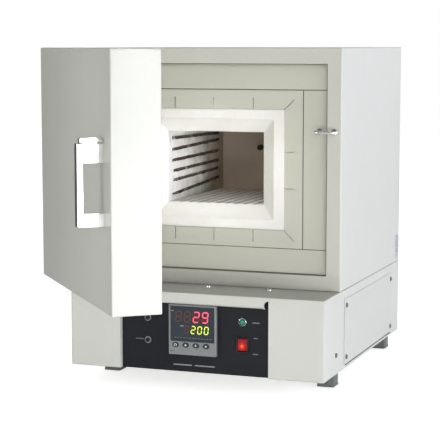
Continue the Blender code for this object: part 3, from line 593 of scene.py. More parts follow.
# The halo layers are drawn over every segment. Round the lit ones they are the display's own glow; on
# the rest they are painted light, as is the faint glow of red_unlit.
LED = {name: glow(f"led_{name}", rgb, strength) for name, rgb, strength in (
    ("red_core", (1.0, 0.16, 0.24), 1.0), ("red_edge", (0.80, 0.0, 0.035), 0.75),
    ("red_halo", (0.20, 0.0, 0.012), 0.35), ("red_unlit", (0.105, 0.030, 0.020), 0.35),
    ("yellow_core", (0.86, 1.0, 0.10), 1.0), ("yellow_edge", (0.42, 0.52, 0.0), 0.7),
    ("yellow_halo", (0.055, 0.075, 0.0), 0.35))}

WOOL = wool("fibre_wool_look", (0.82, 0.81, 0.76))
BRAID = braid("seal_braid_look", (0.80, 0.78, 0.71))
WIRE = oxidised_wire("heating_wire_look")

CHAMBER_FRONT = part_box("muffle_floor")[0].y
CHAMBER_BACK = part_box("muffle_back_wall")[0].y
WALL = chamber("chamber_wall_look", (0.88, 0.87, 0.85), (0.225, 0.182, 0.14),
               near=CHAMBER_FRONT, far=CHAMBER_BACK - 0.03, end=(0.50, 0.42, 0.335))
BACK_WALL = chamber("chamber_back_look", (0.73, 0.61, 0.49), (0.69, 0.575, 0.46),
                    near=CHAMBER_FRONT, far=CHAMBER_BACK)
HEARTH = chamber("hearth_look", (0.95, 0.92, 0.87), (0.86, 0.77, 0.66),
                 near=CHAMBER_FRONT + 0.01, far=CHAMBER_BACK - 0.01,
                 groove=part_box("hearth_plate")[1].z)

# --------------------------------------------------------------------------
# CAD nodes that keep their own shape
# --------------------------------------------------------------------------
HINGE_LEAVES = [f"hinge_leaf_{body}_{end}" for body in ("cabinet", "door")
                for end in ("upper", "lower")]
for look, nodes in (
        (DOOR_ENAMEL, ["door_shell"]),
        (CASE, ["base_tray", "base_back_panel", "upper_back_panel"]),
        (FRONT, ["upper_shell"]),
        (BASE, ["base_housing"]),
        (COVER, ["side_cover_left", "side_cover_right"]),
        (PLATE, ["trim_strip_top", "trim_strip_bottom", "trim_strip_left", "trim_strip_right",
                 "face_plate", "door_inner_pan"]),
        (BLACK, ["control_panel"]),
        (BEZEL, ["controller_case"]),
        (WALL, ["muffle_wall_left", "muffle_wall_right", "muffle_roof", "muffle_floor"]),
        (BACK_WALL, ["muffle_back_wall"]),
        (WOOL, ["insulation_jacket", "door_insulation"]),
        (BOARD, ["terminal_board"]),
        (ALUMINIUM, ["power_regulator"]),
        (ZINC, HINGE_LEAVES + ["door_catch"])):
    for node in nodes:
        slots = NODES[node].data.materials
        for i in range(len(slots)):
            slots[i] = look.material

for end in ("upper", "lower"):
    refine(f"hinge_pin_{end}", CHROME)
    refine(f"hinge_leaf_cabinet_{end}", ZINC)
    refine(f"hinge_leaf_door_{end}", ZINC)
refine("door_catch", ZINC)


# --------------------------------------------------------------------------
# Screws
# --------------------------------------------------------------------------
def pan_screw(normal, at, radius=4.0, height=2.2):
    """Pan head with a cross recess, drawn on the +Z axis and turned to its normal."""
    crown = height * 0.7
    profile = [(-2.0, radius * 0.45), (0.0, radius * 0.45), (0.0, radius * 0.96), (0.25, radius),
               (height * 0.45, radius * 0.97), (height * 0.75, radius * 0.82),
               (height * 0.93, radius * 0.58), (height, radius * 0.34)]
    bm = turned("z", (0, 0), profile, 32)
    crown_edges = [e for e in bm.edges if all(v.co.z > crown for v in e.verts)]
    bmesh.ops.subdivide_edges(bm, edges=crown_edges, cuts=1, use_grid_fill=True)
    for v in bm.verts:      # pull the crown's middle down in a four-armed pattern
        if v.co.z > crown:
            arm = abs(math.cos(2 * math.atan2(v.co.y, v.co.x))) ** 3
            if math.hypot(v.co.x, v.co.y) < radius * 0.5 * (0.45 + 0.75 * arm):
                v.co.z -= 0.75
    turn = Vector((0, 0, 1)).rotation_difference(Vector(normal))
    return moved(bm, Matrix.Translation(Vector(at)) @ turn.to_matrix().to_4x4())


def screws(name, normal, points, look=ZINC, radius=4.0, height=2.2, body="cabinet"):
    heads = [pan_screw(normal, point, radius, height) for point in points]
    put(name, merged(*heads), look, "zinc_steel", body=body)


def rows(xs, y, zs):
    return [(x, y, z) for x in xs for z in zs]


COVER_FACE, HOUSING_FACE = 256.6, 255.0     # outer faces of cover and base housing, from X = 0
REAR_FACE, PAN_FACE = 570.0, 102.0          # Y of the back panels and of the door's inner pan
HINGE_FACE = -257.8
SIDE_SCREW = dict(look=DARK_SCREW, radius=4.7, height=3.0)
SMALL_SCREW = dict(radius=3.4, height=1.5)

for side, sign in SIDES:
    screws(f"cover_screws_{side}", (sign, 0, 0),
           [(sign * COVER_FACE, y, z)
            for y, z in ((143.5, 157), (492, 157), (492, 56), (143.5, 57))], **SIDE_SCREW)
    screws(f"housing_screw_{side}", (sign, 0, 0), [(sign * HOUSING_FACE, 76, 72)], **SIDE_SCREW)
screws("upper_back_screws", (0, 1, 0),
       rows((-240, -80, 80, 240), REAR_FACE, (201, 631)) + rows((-240, 240), REAR_FACE, (345, 488)))
screws("base_back_screws", (0, 1, 0), rows((-240, 0, 240), REAR_FACE, (46, 175)))
for end, middle in (("upper", 552.0), ("lower", 290.0)):
    for body, row_of_three, row_of_two in (("cabinet", 122, 140), ("door", 88, 72)):
        screws(f"hinge_screws_{body}_{end}", (-1, 0, 0),
               [(HINGE_FACE, row_of_three, middle + d) for d in (-26, 0, 26)]
               + [(HINGE_FACE, row_of_two, middle + d) for d in (-26, 26)],
               body=body, **SMALL_SCREW)
screws("pan_screws", (0, 1, 0),
       rows((-236, 0, 236), PAN_FACE, (212, 625)) + rows((-236, 236), PAN_FACE, (330, 510)),
       body="door", **SMALL_SCREW)

LEDGE_TOP, LEDGE_SCREW_Y, LEDGE_SCREW_PITCH = 187.4, 77, 123
# height above the ledge, radius
BUTTON_HEAD = ((-8, 2.2), (0, 2.2), (0, 4.5), (0.3, 4.75), (1.6, 4.7), (2.9, 4.3), (3.9, 3.5),
               (4.4, 2.7))
SOCKET_RADIUS, SOCKET_DEPTH = 1.75, 2.2     # to the hexagon's corners


def button_screw(x, y):
    """Button head with a hexagon socket, standing on the ledge."""
    bm = turned("z", (x, y), [(LEDGE_TOP + z, radius) for z, radius in BUTTON_HEAD])
    top = next(f for f in bm.faces
               if f.calc_center_median().z > LEDGE_TOP + 4.3 and len(f.verts) == 48)
    bmesh.ops.inset_region(bm, faces=[top], thickness=0.35)
    for v in top.verts:
        angle = math.atan2(v.co.y - y, v.co.x - x)
        off_flat = (angle % (math.pi / 3)) - math.pi / 6
        radius = SOCKET_RADIUS * math.cos(math.pi / 6) / math.cos(off_flat)
        v.co.x = x + radius * math.cos(angle)
        v.co.y = y + radius * math.sin(angle)
    made = bmesh.ops.extrude_face_region(bm, geom=[top])
    for v in made["geom"]:
        if isinstance(v, bmesh.types.BMVert):
            v.co.z -= SOCKET_DEPTH
    bmesh.ops.delete(bm, geom=[top], context="FACES_ONLY")
    bmesh.ops.recalc_face_normals(bm, faces=bm.faces)
    return bm


for place, i in (("left", -1), ("middle", 0), ("right", 1)):
    stand_in(f"ledge_screw_{place}", button_screw(i * LEDGE_SCREW_PITCH, LEDGE_SCREW_Y), CHROME,
             "zinc_steel", 30)

# --------------------------------------------------------------------------
# Feet
# --------------------------------------------------------------------------
FOOT_X = 222.5
FOOT_Y = (("front", 136.0), ("rear", 535.0))
FOOT_HALF_X, FOOT_HALF_Y = 17.4, 17.9
# height, half width, whether every other point is drawn in as a rib
FOOT_STATIONS = ((33.8, 17.4, False), (30.5, 17.4, False), (29.8, 16.6, True), (4.0, 16.4, True),
                 (3.2, 17.2, False), (1.2, 17.3, False), (0.3, 16.9, False), (0.0, 16.0, False))
FOOT_HOLE = ((0.0, 7.6), (0.3, 7.3), (11.5, 7.2))       # height, radius


def foot(cx, cy):
    """Moulded foot: straight top flange, ribbed sides, rounded corners and a hole in its sole."""
    outline = rounded_rect(FOOT_HALF_X, FOOT_HALF_Y, 3.0, step=2.1)
    loops = []
    for z, half, ribbed in FOOT_STATIONS:
        scales = [half / FOOT_HALF_X * (0.965 if ribbed and i % 2 else 1)
                  for i in range(len(outline))]
        loops.append([(cx + u * k, cy + w * k, z) for (u, w), k in zip(outline, scales)])
    angles = [math.atan2(w, u) for u, w in outline]
    for z, radius in FOOT_HOLE:
        loops.append([(cx + radius * math.cos(t), cy + radius * math.sin(t), z) for t in angles])
    return skin(loops)


for end, y in FOOT_Y:
    for side, sign in SIDES:
        stand_in(f"foot_{end}_{side}", foot(sign * FOOT_X, y), FOOT, "foot_moulding", 30)
screws("foot_fixing_screws", (0, 0, -1),
       [(sign * FOOT_X, y, 11.4) for side, sign in SIDES for end, y in FOOT_Y],
       radius=4.2, height=2.0)

# --------------------------------------------------------------------------
# Meter on the control panel
# --------------------------------------------------------------------------
METER_X = -4.2
WINDOW_FACE = 1.8
PRINT_DEPTH = (1.70, 1.79)      # front and back of print, just before the window's face


def bar(x_span, z_span, y_span, radius=0.0):
    """Flat bar facing the front, with rounded corners where a radius is given."""
    (x0, x1), (z0, z1) = x_span, z_span
    if radius:
        points = [(u + (x0 + x1) / 2, w + (z0 + z1) / 2)
                  for u, w in rounded_rect((x1 - x0) / 2, (z1 - z0) / 2, radius)]
    else:
        points = [(x0, z0), (x1, z0), (x1, z1), (x0, z1)]
    return prism("y", points, *y_span)


def window_line():
    """Thin rectangular line round the window, as one closed ring."""
    x0, x1, z0, z1 = METER_X - 41.2, METER_X + 41.2, 96.6, 158.4
    front, back, width = 1.66, 1.79, 0.7
    return skin([[(x0 + inset, y, z0 + inset), (x1 - inset, y, z0 + inset),
                  (x1 - inset, y, z1 - inset), (x0 + inset, y, z1 - inset)]
                 for inset, y in ((0, front), (0, back), (width, back), (width, front))],
                closed=True)


stand_in("controller_window",
         block((METER_X - 43.9, METER_X + 43.9), (WINDOW_FACE, 4.5), (94.1, 160.9), 0.45),
         WINDOW, "meter_window", 60, flat=True)
put("controller_window_line", window_line(), WINDOW_RIM, "meter_window", 0)

# ends of each bar as shares of the figure's width and height
SEGMENTS = {"a": ((0, 1), (1, 1)), "b": ((1, 1), (1, .5)), "c": ((1, .5), (1, 0)),
            "d": ((0, 0), (1, 0)), "e": ((0, .5), (0, 0)), "f": ((0, 1), (0, .5)),
            "g": ((0, .5), (1, .5))}
FIGURES = {"0": "abcdef", "2": "abged", "9": "abcdfg", "8": "abcdefg"}
SLANT = 0.10
DIGIT_ROWS = {
    "upper": dict(first=METER_X - 27.6, pitch=17.8, cz=141.4, width=10.6, height=19.2),
    "lower": dict(first=METER_X - 11.5, pitch=13.2, cz=116.9, width=7.4, height=13.6)}
LAYER_DEPTH = {"unlit": PRINT_DEPTH, "halo": (1.745, 1.79), "edge": (1.70, 1.74),
               "core": (1.64, 1.69)}
# row, layer, figures, place of the first, stroke, colour
DIGITS = (("upper", "unlit", "88", 0, 3.0, "red"), ("upper", "halo", "88", 2, 4.6, "red"),
          ("upper", "edge", "29", 2, 2.8, "red"), ("upper", "core", "29", 2, 1.5, "red"),
          ("lower", "unlit", "8", 0, 2.2, "red"), ("lower", "halo", "888", 1, 3.8, "yellow"),
          ("lower", "edge", "200", 1, 2.1, "yellow"), ("lower", "core", "200", 1, 1.25, "yellow"))


def figure(char, cx, cz, width, height, stroke, y_span):
    """Seven-segment figure: bars with pointed ends, leaning a little."""
    parts = []
    for segment in FIGURES[char]:
        start, end = (Vector((cx + (u - .5) * width, cz + (w - .5) * height))
                      for u, w in SEGMENTS[segment])
        way = (end - start).normalized()
        across = Vector((-way.y, way.x)) * stroke / 2
        start = start + way * (stroke * 0.1 + 0.25)
        end = end - way * (stroke * 0.1 + 0.25)
        point = way * stroke / 2
        outline = [start, start + point + across, end - point + across, end,
                   end - point - across, start + point - across]
        parts.append(prism("y", [(p.x + SLANT * (p.y - cz), p.y) for p in outline], *y_span))
    return parts


for row, layer, chars, place, stroke, colour in DIGITS:
    size = dict(DIGIT_ROWS[row])
    first, pitch = size.pop("first"), size.pop("pitch")
    parts = []
    for i, char in enumerate(chars, place):
        parts += figure(char, first + pitch * i, stroke=stroke, y_span=LAYER_DEPTH[layer], **size)
    put(f"digits_{row}_{layer}", merged(*parts), LED[f"{colour}_{layer}"], "meter_window", 0)

put("window_marks", merged(
    bar((METER_X - 43.0, METER_X - 37.4), (151.0, 152.5), PRINT_DEPTH),
    bar((METER_X - 24.2, METER_X - 17.4), (122.6, 124.2), PRINT_DEPTH)), PRINT, "meter_window", 0)
SCALE_START, SCALE_PITCH = METER_X - 36, 5.9
scale_bars = []
for i in range(13):
    x = SCALE_START + SCALE_PITCH * i
    scale_bars.append(bar((x, x + (3.2 if i % 3 else 4.4)), (100.3, 101.4), PRINT_DEPTH))
put("window_scale", merged(*scale_bars), FAINT_PRINT, "meter_window", 0)
put("case_mark", bar((METER_X - 44.0, METER_X - 35.5), (73.9, 75.0), (1.40, 1.49)),
    WINDOW_RIM, "meter_case", 0)

# --------------------------------------------------------------------------
# Keys of the meter
# --------------------------------------------------------------------------
FIRST_KEY_X, KEY_PITCH, KEY_Z = -38.2, 20.6, 87.0
ICON_DEPTH = (0.42, 0.62)
KEY_PROFILE = ((8.0, 6.35), (2.4, 6.35), (1.7, 6.2), (1.2, 5.8), (0.85, 5.1), (0.68, 4.0),
               (0.6, 2.4), (0.6, 1.0))      # Y, radius
ARROW = ((-0.55, 0.0), (0.1, 0.62), (0.1, 0.2), (0.6, 0.2), (0.6, -0.2), (0.1, -0.2),
         (0.1, -0.62))                      # points left; X, Z for an arrow of size 1


def arrow(degrees, size):
    bm = prism("y", [(size * u, size * w) for u, w in ARROW], *ICON_DEPTH)
    return moved(bm, Matrix.Rotation(math.radians(degrees), 4, "Y"))


def cycle_icon():
    """Open ring with an arrow head."""
    radius, half_width = 2.2, 0.5
    start, end, steps = math.radians(-20), math.radians(245), 22
    angles = [start + (end - start) * i / steps for i in range(steps + 1)]
    outer, inner = ([(r * math.cos(t), r * math.sin(t)) for t in angles]
                    for r in (radius + half_width, radius - half_width))
    arc = prism("y", outer + inner[::-1], *ICON_DEPTH)
    x, z = radius * math.cos(start), radius * math.sin(start)
    head = prism("y", [(x - 1.5, z + 0.5), (x + 1.4, z + 0.5), (x, z - 1.6)], *ICON_DEPTH)
    return merged(arc, head)


for i, (name, icon) in enumerate((("cycle", cycle_icon()), ("shift", arrow(0, 4.0)),
                                  ("down", arrow(-90, 3.8)), ("up", arrow(90, 3.8)))):
    x, node = FIRST_KEY_X + KEY_PITCH * i, f"key_{name}"
    stand_in(node, turned("y", (x, KEY_Z), KEY_PROFILE, squash=0.75), KEY, "key_rubber", 50,
             body=node)
    put(f"{node}_icon", moved(icon, Matrix.Translation((x, 0, KEY_Z))), ICON, "key_rubber", 0,
        body=node)

# --------------------------------------------------------------------------
# Printed bars on the control panel, and dark strips of painted shade in the joints and along the edges
# of the front frame
# --------------------------------------------------------------------------
PANEL_FACE = 10.3
PANEL_PRINT = (PANEL_FACE - 0.14, PANEL_FACE - 0.01)
# X span, Z span
TITLE_BARS = (((-46.0, -8.5), (45.9, 48.3)), ((-2.0, 37.5), (45.9, 48.3)))
LABEL_BARS = (((112.5, 126.5), (135.0, 137.4)), ((115.0, 123.0), (106.2, 108.2)),
              ((113.5, 123.5), (76.0, 78.2)), ((-123.5, -106.0), (91.2, 92.8)))
for name, bars, radius, look in (("title_bars", TITLE_BARS, 0.8, TITLE),
                                 ("label_bars", LABEL_BARS, 0.6, FAINT_PRINT)):
    put(name, merged(*[bar(xs, zs, PANEL_PRINT, radius) for xs, zs in bars]), look,
        "panel_black", 0)

SEAM_Y, RECESS_SHADE_Y = (116.05, 116.28), (105.2, 116.2)
# Painted shade: dark strips in the joints between the plates, for the shade in the gaps.
put("plate_seams", merged(
    block((-226.5, 226.5), SEAM_Y, (565.05, 566.3)), block((-226.5, 226.5), SEAM_Y, (263.0, 264.25)),
    block((176.05, 177.4), SEAM_Y, (264.4, 564.9)), block((-177.4, -176.05), SEAM_Y, (264.4, 564.9))),
    SEAM_SHADE, "plate_enamel", 0)
for side, sign in SIDES:     # painted shade: a dark strip in the gap along the foot of each side cover
    put(f"cover_seam_{side}",
        block(sorted((sign * 254.6, sign * 256.2)), (140.0, 496.0), (40.6, 42.95)),
        SEAM_SHADE, "plate_enamel", 0)
# Painted shade: dark strips inside the recess along the frame's opening, for the shade line at its edge.
put("frame_return_edges", merged(
    block((225.5, 226.95), RECESS_SHADE_Y, (217.4, 613.5)), block((-226.95, -225.9), RECESS_SHADE_Y, (217.4, 613.5)),
    block((-226.95, 226.95), RECESS_SHADE_Y, (613.7, 614.95)),
    block((-226.95, 226.95), RECESS_SHADE_Y, (216.05, 217.2))), RECESS_SHADE, "plate_enamel", 0)

# --------------------------------------------------------------------------
# Pilot lamp
# --------------------------------------------------------------------------
LAMP = (94.0, 137.0)        # X, Z
# Y, radius
LENS_PROFILE = ((8.2, 5.9), (6.6, 5.95), (5.9, 5.8), (5.1, 5.35), (4.4, 4.6), (3.85, 3.6),
                (3.5, 2.5), (3.3, 1.3), (3.24, 0.5))
LAMP_RIM = ((10.0, 7.75), (7.2, 7.75), (6.7, 7.6), (6.42, 7.25), (6.35, 6.85), (6.6, 6.45),
            (7.0, 6.3), (8.6, 6.3), (8.7, 3.0), (10.0, 3.0))
stand_in("pilot_lamp_lens", turned("y", LAMP, LENS_PROFILE, 56),
         green_lens("green_lens_look", CABINET @ Vector((LAMP[0], 0, LAMP[1]))), "green_lens", 60)
stand_in("pilot_lamp_body", merged(turned_ring("y", LAMP, LAMP_RIM),
                                   turned("y", LAMP, [(10.0, 5.6), (42, 5.6)], 32)),
         CHROME, "bright_steel", 40)

# --------------------------------------------------------------------------
# Rocker switch
# --------------------------------------------------------------------------
ROCKER_X, ROCKER_Z, ROCKER_AXIS_Y = 93.5, 93.3, 13.5
ROCKER_HALF_X, ROCKER_HALF_Z, ROCKER_RIM = 9.3, 10.9, 1.1
ROCKER_TILT = -6.5
# half width, half height, corner radius, Y
BEZEL_SECTIONS = ((12.5, 15.0, 1.6, 10.0), (12.5, 15.0, 1.6, 8.4), (12.3, 14.8, 1.5, 7.7),
                  (11.8, 14.3, 1.3, 7.3), (11.2, 13.7, 1.1, 7.2), (10.3, 12.9, 0.9, 7.3),
                  (9.95, 12.6, 0.8, 7.7), (9.9, 12.5, 0.8, 25.0), (10.4, 13.1, 0.9, 25.0),
                  (10.4, 13.1, 0.9, 10.0))


def rocker_face(z):
    """Y of the curved face at a height from the key's middle."""
    return ROCKER_AXIS_Y - 6.65 - 1.35 * (z / 10.2) ** 2


def pressed(bm):
    """Turns a piece of the level key to its pressed side."""
    pivot = Matrix.Translation((ROCKER_X, ROCKER_AXIS_Y, ROCKER_Z))
    tilt = Matrix.Rotation(math.radians(ROCKER_TILT), 4, "X")
    return moved(bm, pivot @ tilt @ pivot.inverted())


def toward_rims(count):
    """Places from -1 to 1 that crowd together at both ends."""
    even = [-1 + 2 * i / count for i in range(count + 1)]
    return [math.copysign(1 - (1 - abs(t)) ** 1.25, t) for t in even]


def rocker_key():
    """Key with a curved face, a rounded rim and sides that narrow to a curved underside."""
    bm = bmesh.new()
    grid = []
    for w in toward_rims(30):
        row = []
        for u in toward_rims(22):
            x, z = u * ROCKER_HALF_X, w * ROCKER_HALF_Z
            y = rocker_face(z) + 0.18 * (x / ROCKER_HALF_X) ** 2
            edge = min(ROCKER_HALF_X - abs(x), ROCKER_HALF_Z - abs(z))
            if edge < ROCKER_RIM:
                square = ROCKER_RIM ** 2 - (ROCKER_RIM - edge) ** 2
                y += ROCKER_RIM - math.sqrt(max(0.0, square))
            row.append(bm.verts.new((ROCKER_X + x, y, ROCKER_Z + z)))
        grid.append(row)
    for low, high in zip(grid, grid[1:]):
        for face in zip(low, low[1:], high[1:], high):
            bm.faces.new(face)
    edge = (grid[0] + [row[-1] for row in grid[1:]] + grid[-1][-2::-1]
            + [row[0] for row in grid[-2:0:-1]])
    under = []
    for v in edge:
        z = v.co.z - ROCKER_Z
        y = ROCKER_AXIS_Y + 3.4 - 1.9 * (abs(z) / ROCKER_HALF_Z) ** 2
        under.append(bm.verts.new((v.co.x, y, ROCKER_Z + z * 0.88)))
    for face in zip(edge, edge[1:] + edge[:1], under[1:] + under[:1], under):
        bm.faces.new(face)
    bm.faces.new(under)
    bmesh.ops.recalc_face_normals(bm, faces=bm.faces)
    return pressed(bm)


def rocker_marks():
    """Dash above and ring below, set in the key's face."""
    y = rocker_face(6.6)
    dash = block((ROCKER_X - 0.45, ROCKER_X + 0.45), (y - 0.10, y + 0.2),
                 (ROCKER_Z + 5.2, ROCKER_Z + 8.0), 0.05, 1)
    z = -6.9
    front, back = rocker_face(z) - 0.10, rocker_face(z) + 0.25
    ring = turned_ring("y", (ROCKER_X, ROCKER_Z + z),
                       [(front, 1.0), (front, 1.55), (back, 1.55), (back, 1.0)], 28)
    return pressed(merged(dash, ring))


def rocker_frame():
    """Rounded bezel and the switch's body behind it."""
    bezel = skin([[(ROCKER_X + u, y, ROCKER_Z + w)
                   for u, w in rounded_rect(half_x, half_z, radius, corner=5)]
                  for half_x, half_z, radius, y in BEZEL_SECTIONS], closed=True)
    return merged(bezel, block((ROCKER_X - 10.3, ROCKER_X + 10.3), (25.4, 38),
                               (ROCKER_Z - 13, ROCKER_Z + 13), 0.6, 2))


RED_LENS = red_lens("red_lens_look", CABINET @ Vector((ROCKER_X - 0.3, 0, ROCKER_Z - 2.0)),
                    *[(CABINET @ Vector((0, 0, ROCKER_Z + up))).z for up in (3.2, 7.5)])
stand_in("rocker_key", rocker_key(), RED_LENS, "red_lens", 60, body="rocker_key")
put("rocker_key_marks", rocker_marks(), ROCKER_MARK, "red_lens", 30, body="rocker_key")
stand_in("rocker_frame", rocker_frame(), MOULDING, "black_moulding", 45, flat=True)

# --------------------------------------------------------------------------
# Fuse holders
# --------------------------------------------------------------------------
FUSE_X = -97.5
# Y, radius
FUSE_RIM = ((10.0, 6.35), (8.3, 6.35), (7.8, 6.1), (7.6, 5.6), (7.7, 5.1), (8.0, 4.75),
            (9.2, 4.7), (10.0, 4.7))
FUSE_CAP = ((38.0, 4.45), (7.4, 4.45), (6.2, 4.35), (5.6, 4.1), (5.25, 3.6), (5.1, 2.8),
            (5.05, 1.2))
for name, z in (("upper", 134.0), ("lower", 91.0)):
    stand_in(f"fuse_holder_{name}", turned_ring("y", (FUSE_X, z), FUSE_RIM, 56), FUSE_RING,
             "zinc_steel", 45)
    put(f"fuse_cap_{name}", turned("y", (FUSE_X, z), FUSE_CAP), MOULDING, "black_moulding", 45)
    put(f"fuse_slot_{name}", block((FUSE_X - 3.0, FUSE_X + 3.0), (4.98, 5.04), (z - 0.55, z + 0.55)),
        BLACK, "black_moulding", 0)

# --------------------------------------------------------------------------
# Ceramic throat and hearth
# --------------------------------------------------------------------------
MIDDLE_Z = 413.5                        # middle height of the chamber's opening
COLLAR_X, MUFFLE_X = -2.4, -8.4         # middle of the collar, and of the mouth and chamber


def sections(outline, stations):
    """Outline scaled to each station (middle X, half width, half height, Y). The first
    station's half sizes are those of the outline."""
    _, full_x, full_z, _ = stations[0]
    return [[(cx + u * half_x / full_x, y, MIDDLE_Z + w * half_z / full_z) for u, w in outline]
            for cx, half_x, half_z, y in stations]


def throat():
    """White collar with a splayed mouth, edges eased and slightly uneven."""
    half_x, half_z, rear = 142.6, 115.0, 139.8
    face_edge = (COLLAR_X, 140.6, 113.0, 114.6)
    splay_start = (-4.2, 121.1, 95.4, 115.9)
    mouth = (MUFFLE_X, 99.0, 70.0, rear)
    stations = [(COLLAR_X, half_x, half_z, y) for y in (rear, 134, 128, 122, 117.4)]
    stations += [(COLLAR_X, 142.5, 114.9, 116.2), (COLLAR_X, 142.1, 114.5, 115.3),
                 (COLLAR_X, 141.4, 113.8, 114.8), face_edge]
    stations += between(face_edge, (-3.9, 123.6, 97.4, 114.6), 5)
    stations += [(-4.0, 122.7, 96.7, 114.75), (-4.1, 121.9, 96.0, 115.2), splay_start]
    stations += between(splay_start, mouth, 9)
    stations += between(mouth, (COLLAR_X, half_x, half_z, rear), 5)[:-1]
    bm = skin(sections(rounded_rect(half_x, half_z, 1.6, 4.0, 3), stations), closed=True)

    def keep(co):
        return 1.0 if co.y < 134 else 0.3
    rough_up(bm, 0.16, 0.055, 1.0, keep)
    rough_up(bm, 0.07, 0.31, 2.0, keep)
    reach_x, reach_z = half_x + 0.05, half_z + 0.05
    for v in bm.verts:       # stays inside the plate's opening and off the boards
        v.co.x = max(COLLAR_X - reach_x, min(COLLAR_X + reach_x, v.co.x))
        v.co.z = max(MIDDLE_Z - reach_z, min(MIDDLE_Z + reach_z, v.co.z))
        v.co.y = min(v.co.y, 139.95)
    return bm


stand_in("throat_collar", throat(), THROAT, "throat_ceramic", 50)

GROOVE_PITCH = 19
# left half of a groove: X from its middle, Z from the hearth's top
HALF_GROOVE = [(-5.0, 0), (-4.1, -0.25), (-3.6, -0.9), (-3.35, -2.6), (-2.7, -3.6), (-1.4, -4.05)]


def hearth():
    """Hearth plate with rounded ribs running front to back."""
    x0, x1 = MUFFLE_X - 98.5, MUFFLE_X + 98.5
    front, back, bottom, top = 141.1, 455.4, 328.9, 343.5
    groove = HALF_GROOVE + [(-x, z) for x, z in reversed(HALF_GROOVE)]
    profile = [(x0, bottom), (x0, top - 0.9), (x0 + 0.3, top - 0.3), (x0 + 0.9, top)]
    for i in range(-4, 5):
        profile += [(MUFFLE_X + GROOVE_PITCH * i + x, top + z) for x, z in groove]
    profile += [(x1 - 0.9, top), (x1 - 0.3, top - 0.3), (x1, top - 0.9), (x1, bottom)]
    ys = [front, front + 0.3, front + 1.0]
    ys += [front + 6 + (back - front - 12) * k / 44 for k in range(45)]
    ys += [back - 1.0, back - 0.3, back]
    loops = []
    for i, y in enumerate(ys):
        drop = {0: -0.9, 1: -0.3}.get(min(i, len(ys) - 1 - i), 0.0)    # eases the end edges
        loops.append([(x, y, z + (drop if z > top - 1.2 else 0.0)) for x, z in profile])
    bm = skin(loops)
    rough_up(bm, 0.22, 0.12, 3.0, lambda co: 1.0 if (
        co.z > bottom + 4 and front + 2 < co.y < back - 2 and abs(co.x - MUFFLE_X) < 97) else 0.0)
    return bm


stand_in("hearth_plate", hearth(), HEARTH, "refractory", 45)

# --------------------------------------------------------------------------
# Heating elements and probe
# --------------------------------------------------------------------------
# front and rear height of each pass
PASSES = ((467.0, 463.5), (444.5, 449.5), (423.0, 426.0), (402.0, 405.5), (383.0, 388.5),
          (356.0, 369.0))
PASS_FRONT, PASS_REAR, COIL_END = 174.0, 430.0, 447.0
COIL_X = 108.0                          # from the middle of the chamber
COIL_PITCH, COIL_RADIUS, WIRE_RADIUS = 5.6, 3.0, 0.95
STEPS_PER_TURN, WIRE_SIDES = 14, 6


def unit(vectors):
    return vectors / np.linalg.norm(vectors, axis=1)[:, None]


def coil_path(x, sign):
    """Centre line of the coil: six passes joined by half turns, leaning out of their slots."""
    corners = [(x, COIL_END, PASSES[0][1]), (x, PASS_REAR, PASSES[0][1])]
    for i in range(5):
        end = i % 2
        y, way = (PASS_REAR, 1) if end else (PASS_FRONT, -1)
        upper, lower = PASSES[i][end], PASSES[i + 1][end]
        middle, radius = (upper + lower) / 2, (upper - lower) / 2
        for k in range(13):
            t = math.pi * k / 12
            corners.append((x, y + way * radius * math.sin(t), middle + radius * math.cos(t)))
    corners += [(x, PASS_REAR, PASSES[5][1]), (x, COIL_END, PASSES[5][1])]
    points = []
    for start, end in zip(corners, corners[1:]):    # fine steps, about 2 mm apart
        steps = max(1, int(math.dist(start, end) / 2.0))
        points += [start] + between(start, end, steps)[:-1]
    points = np.array(points + [corners[-1]])
    px, py, pz = points.T
    lean = np.clip(np.minimum(py - PASS_FRONT, PASS_REAR + 8.0 - py) / 14.0, 0, 1)
    lean = lean * lean * (3 - 2 * lean)
    px -= sign * lean * (6.6 + 0.9 * np.sin(py * 0.071 + pz)
                         + 0.5 * np.sin(py * 0.19 + pz * 2.1))
    pz += lean * 0.5 * np.sin(py * 0.09 + pz * 1.3)
    return points


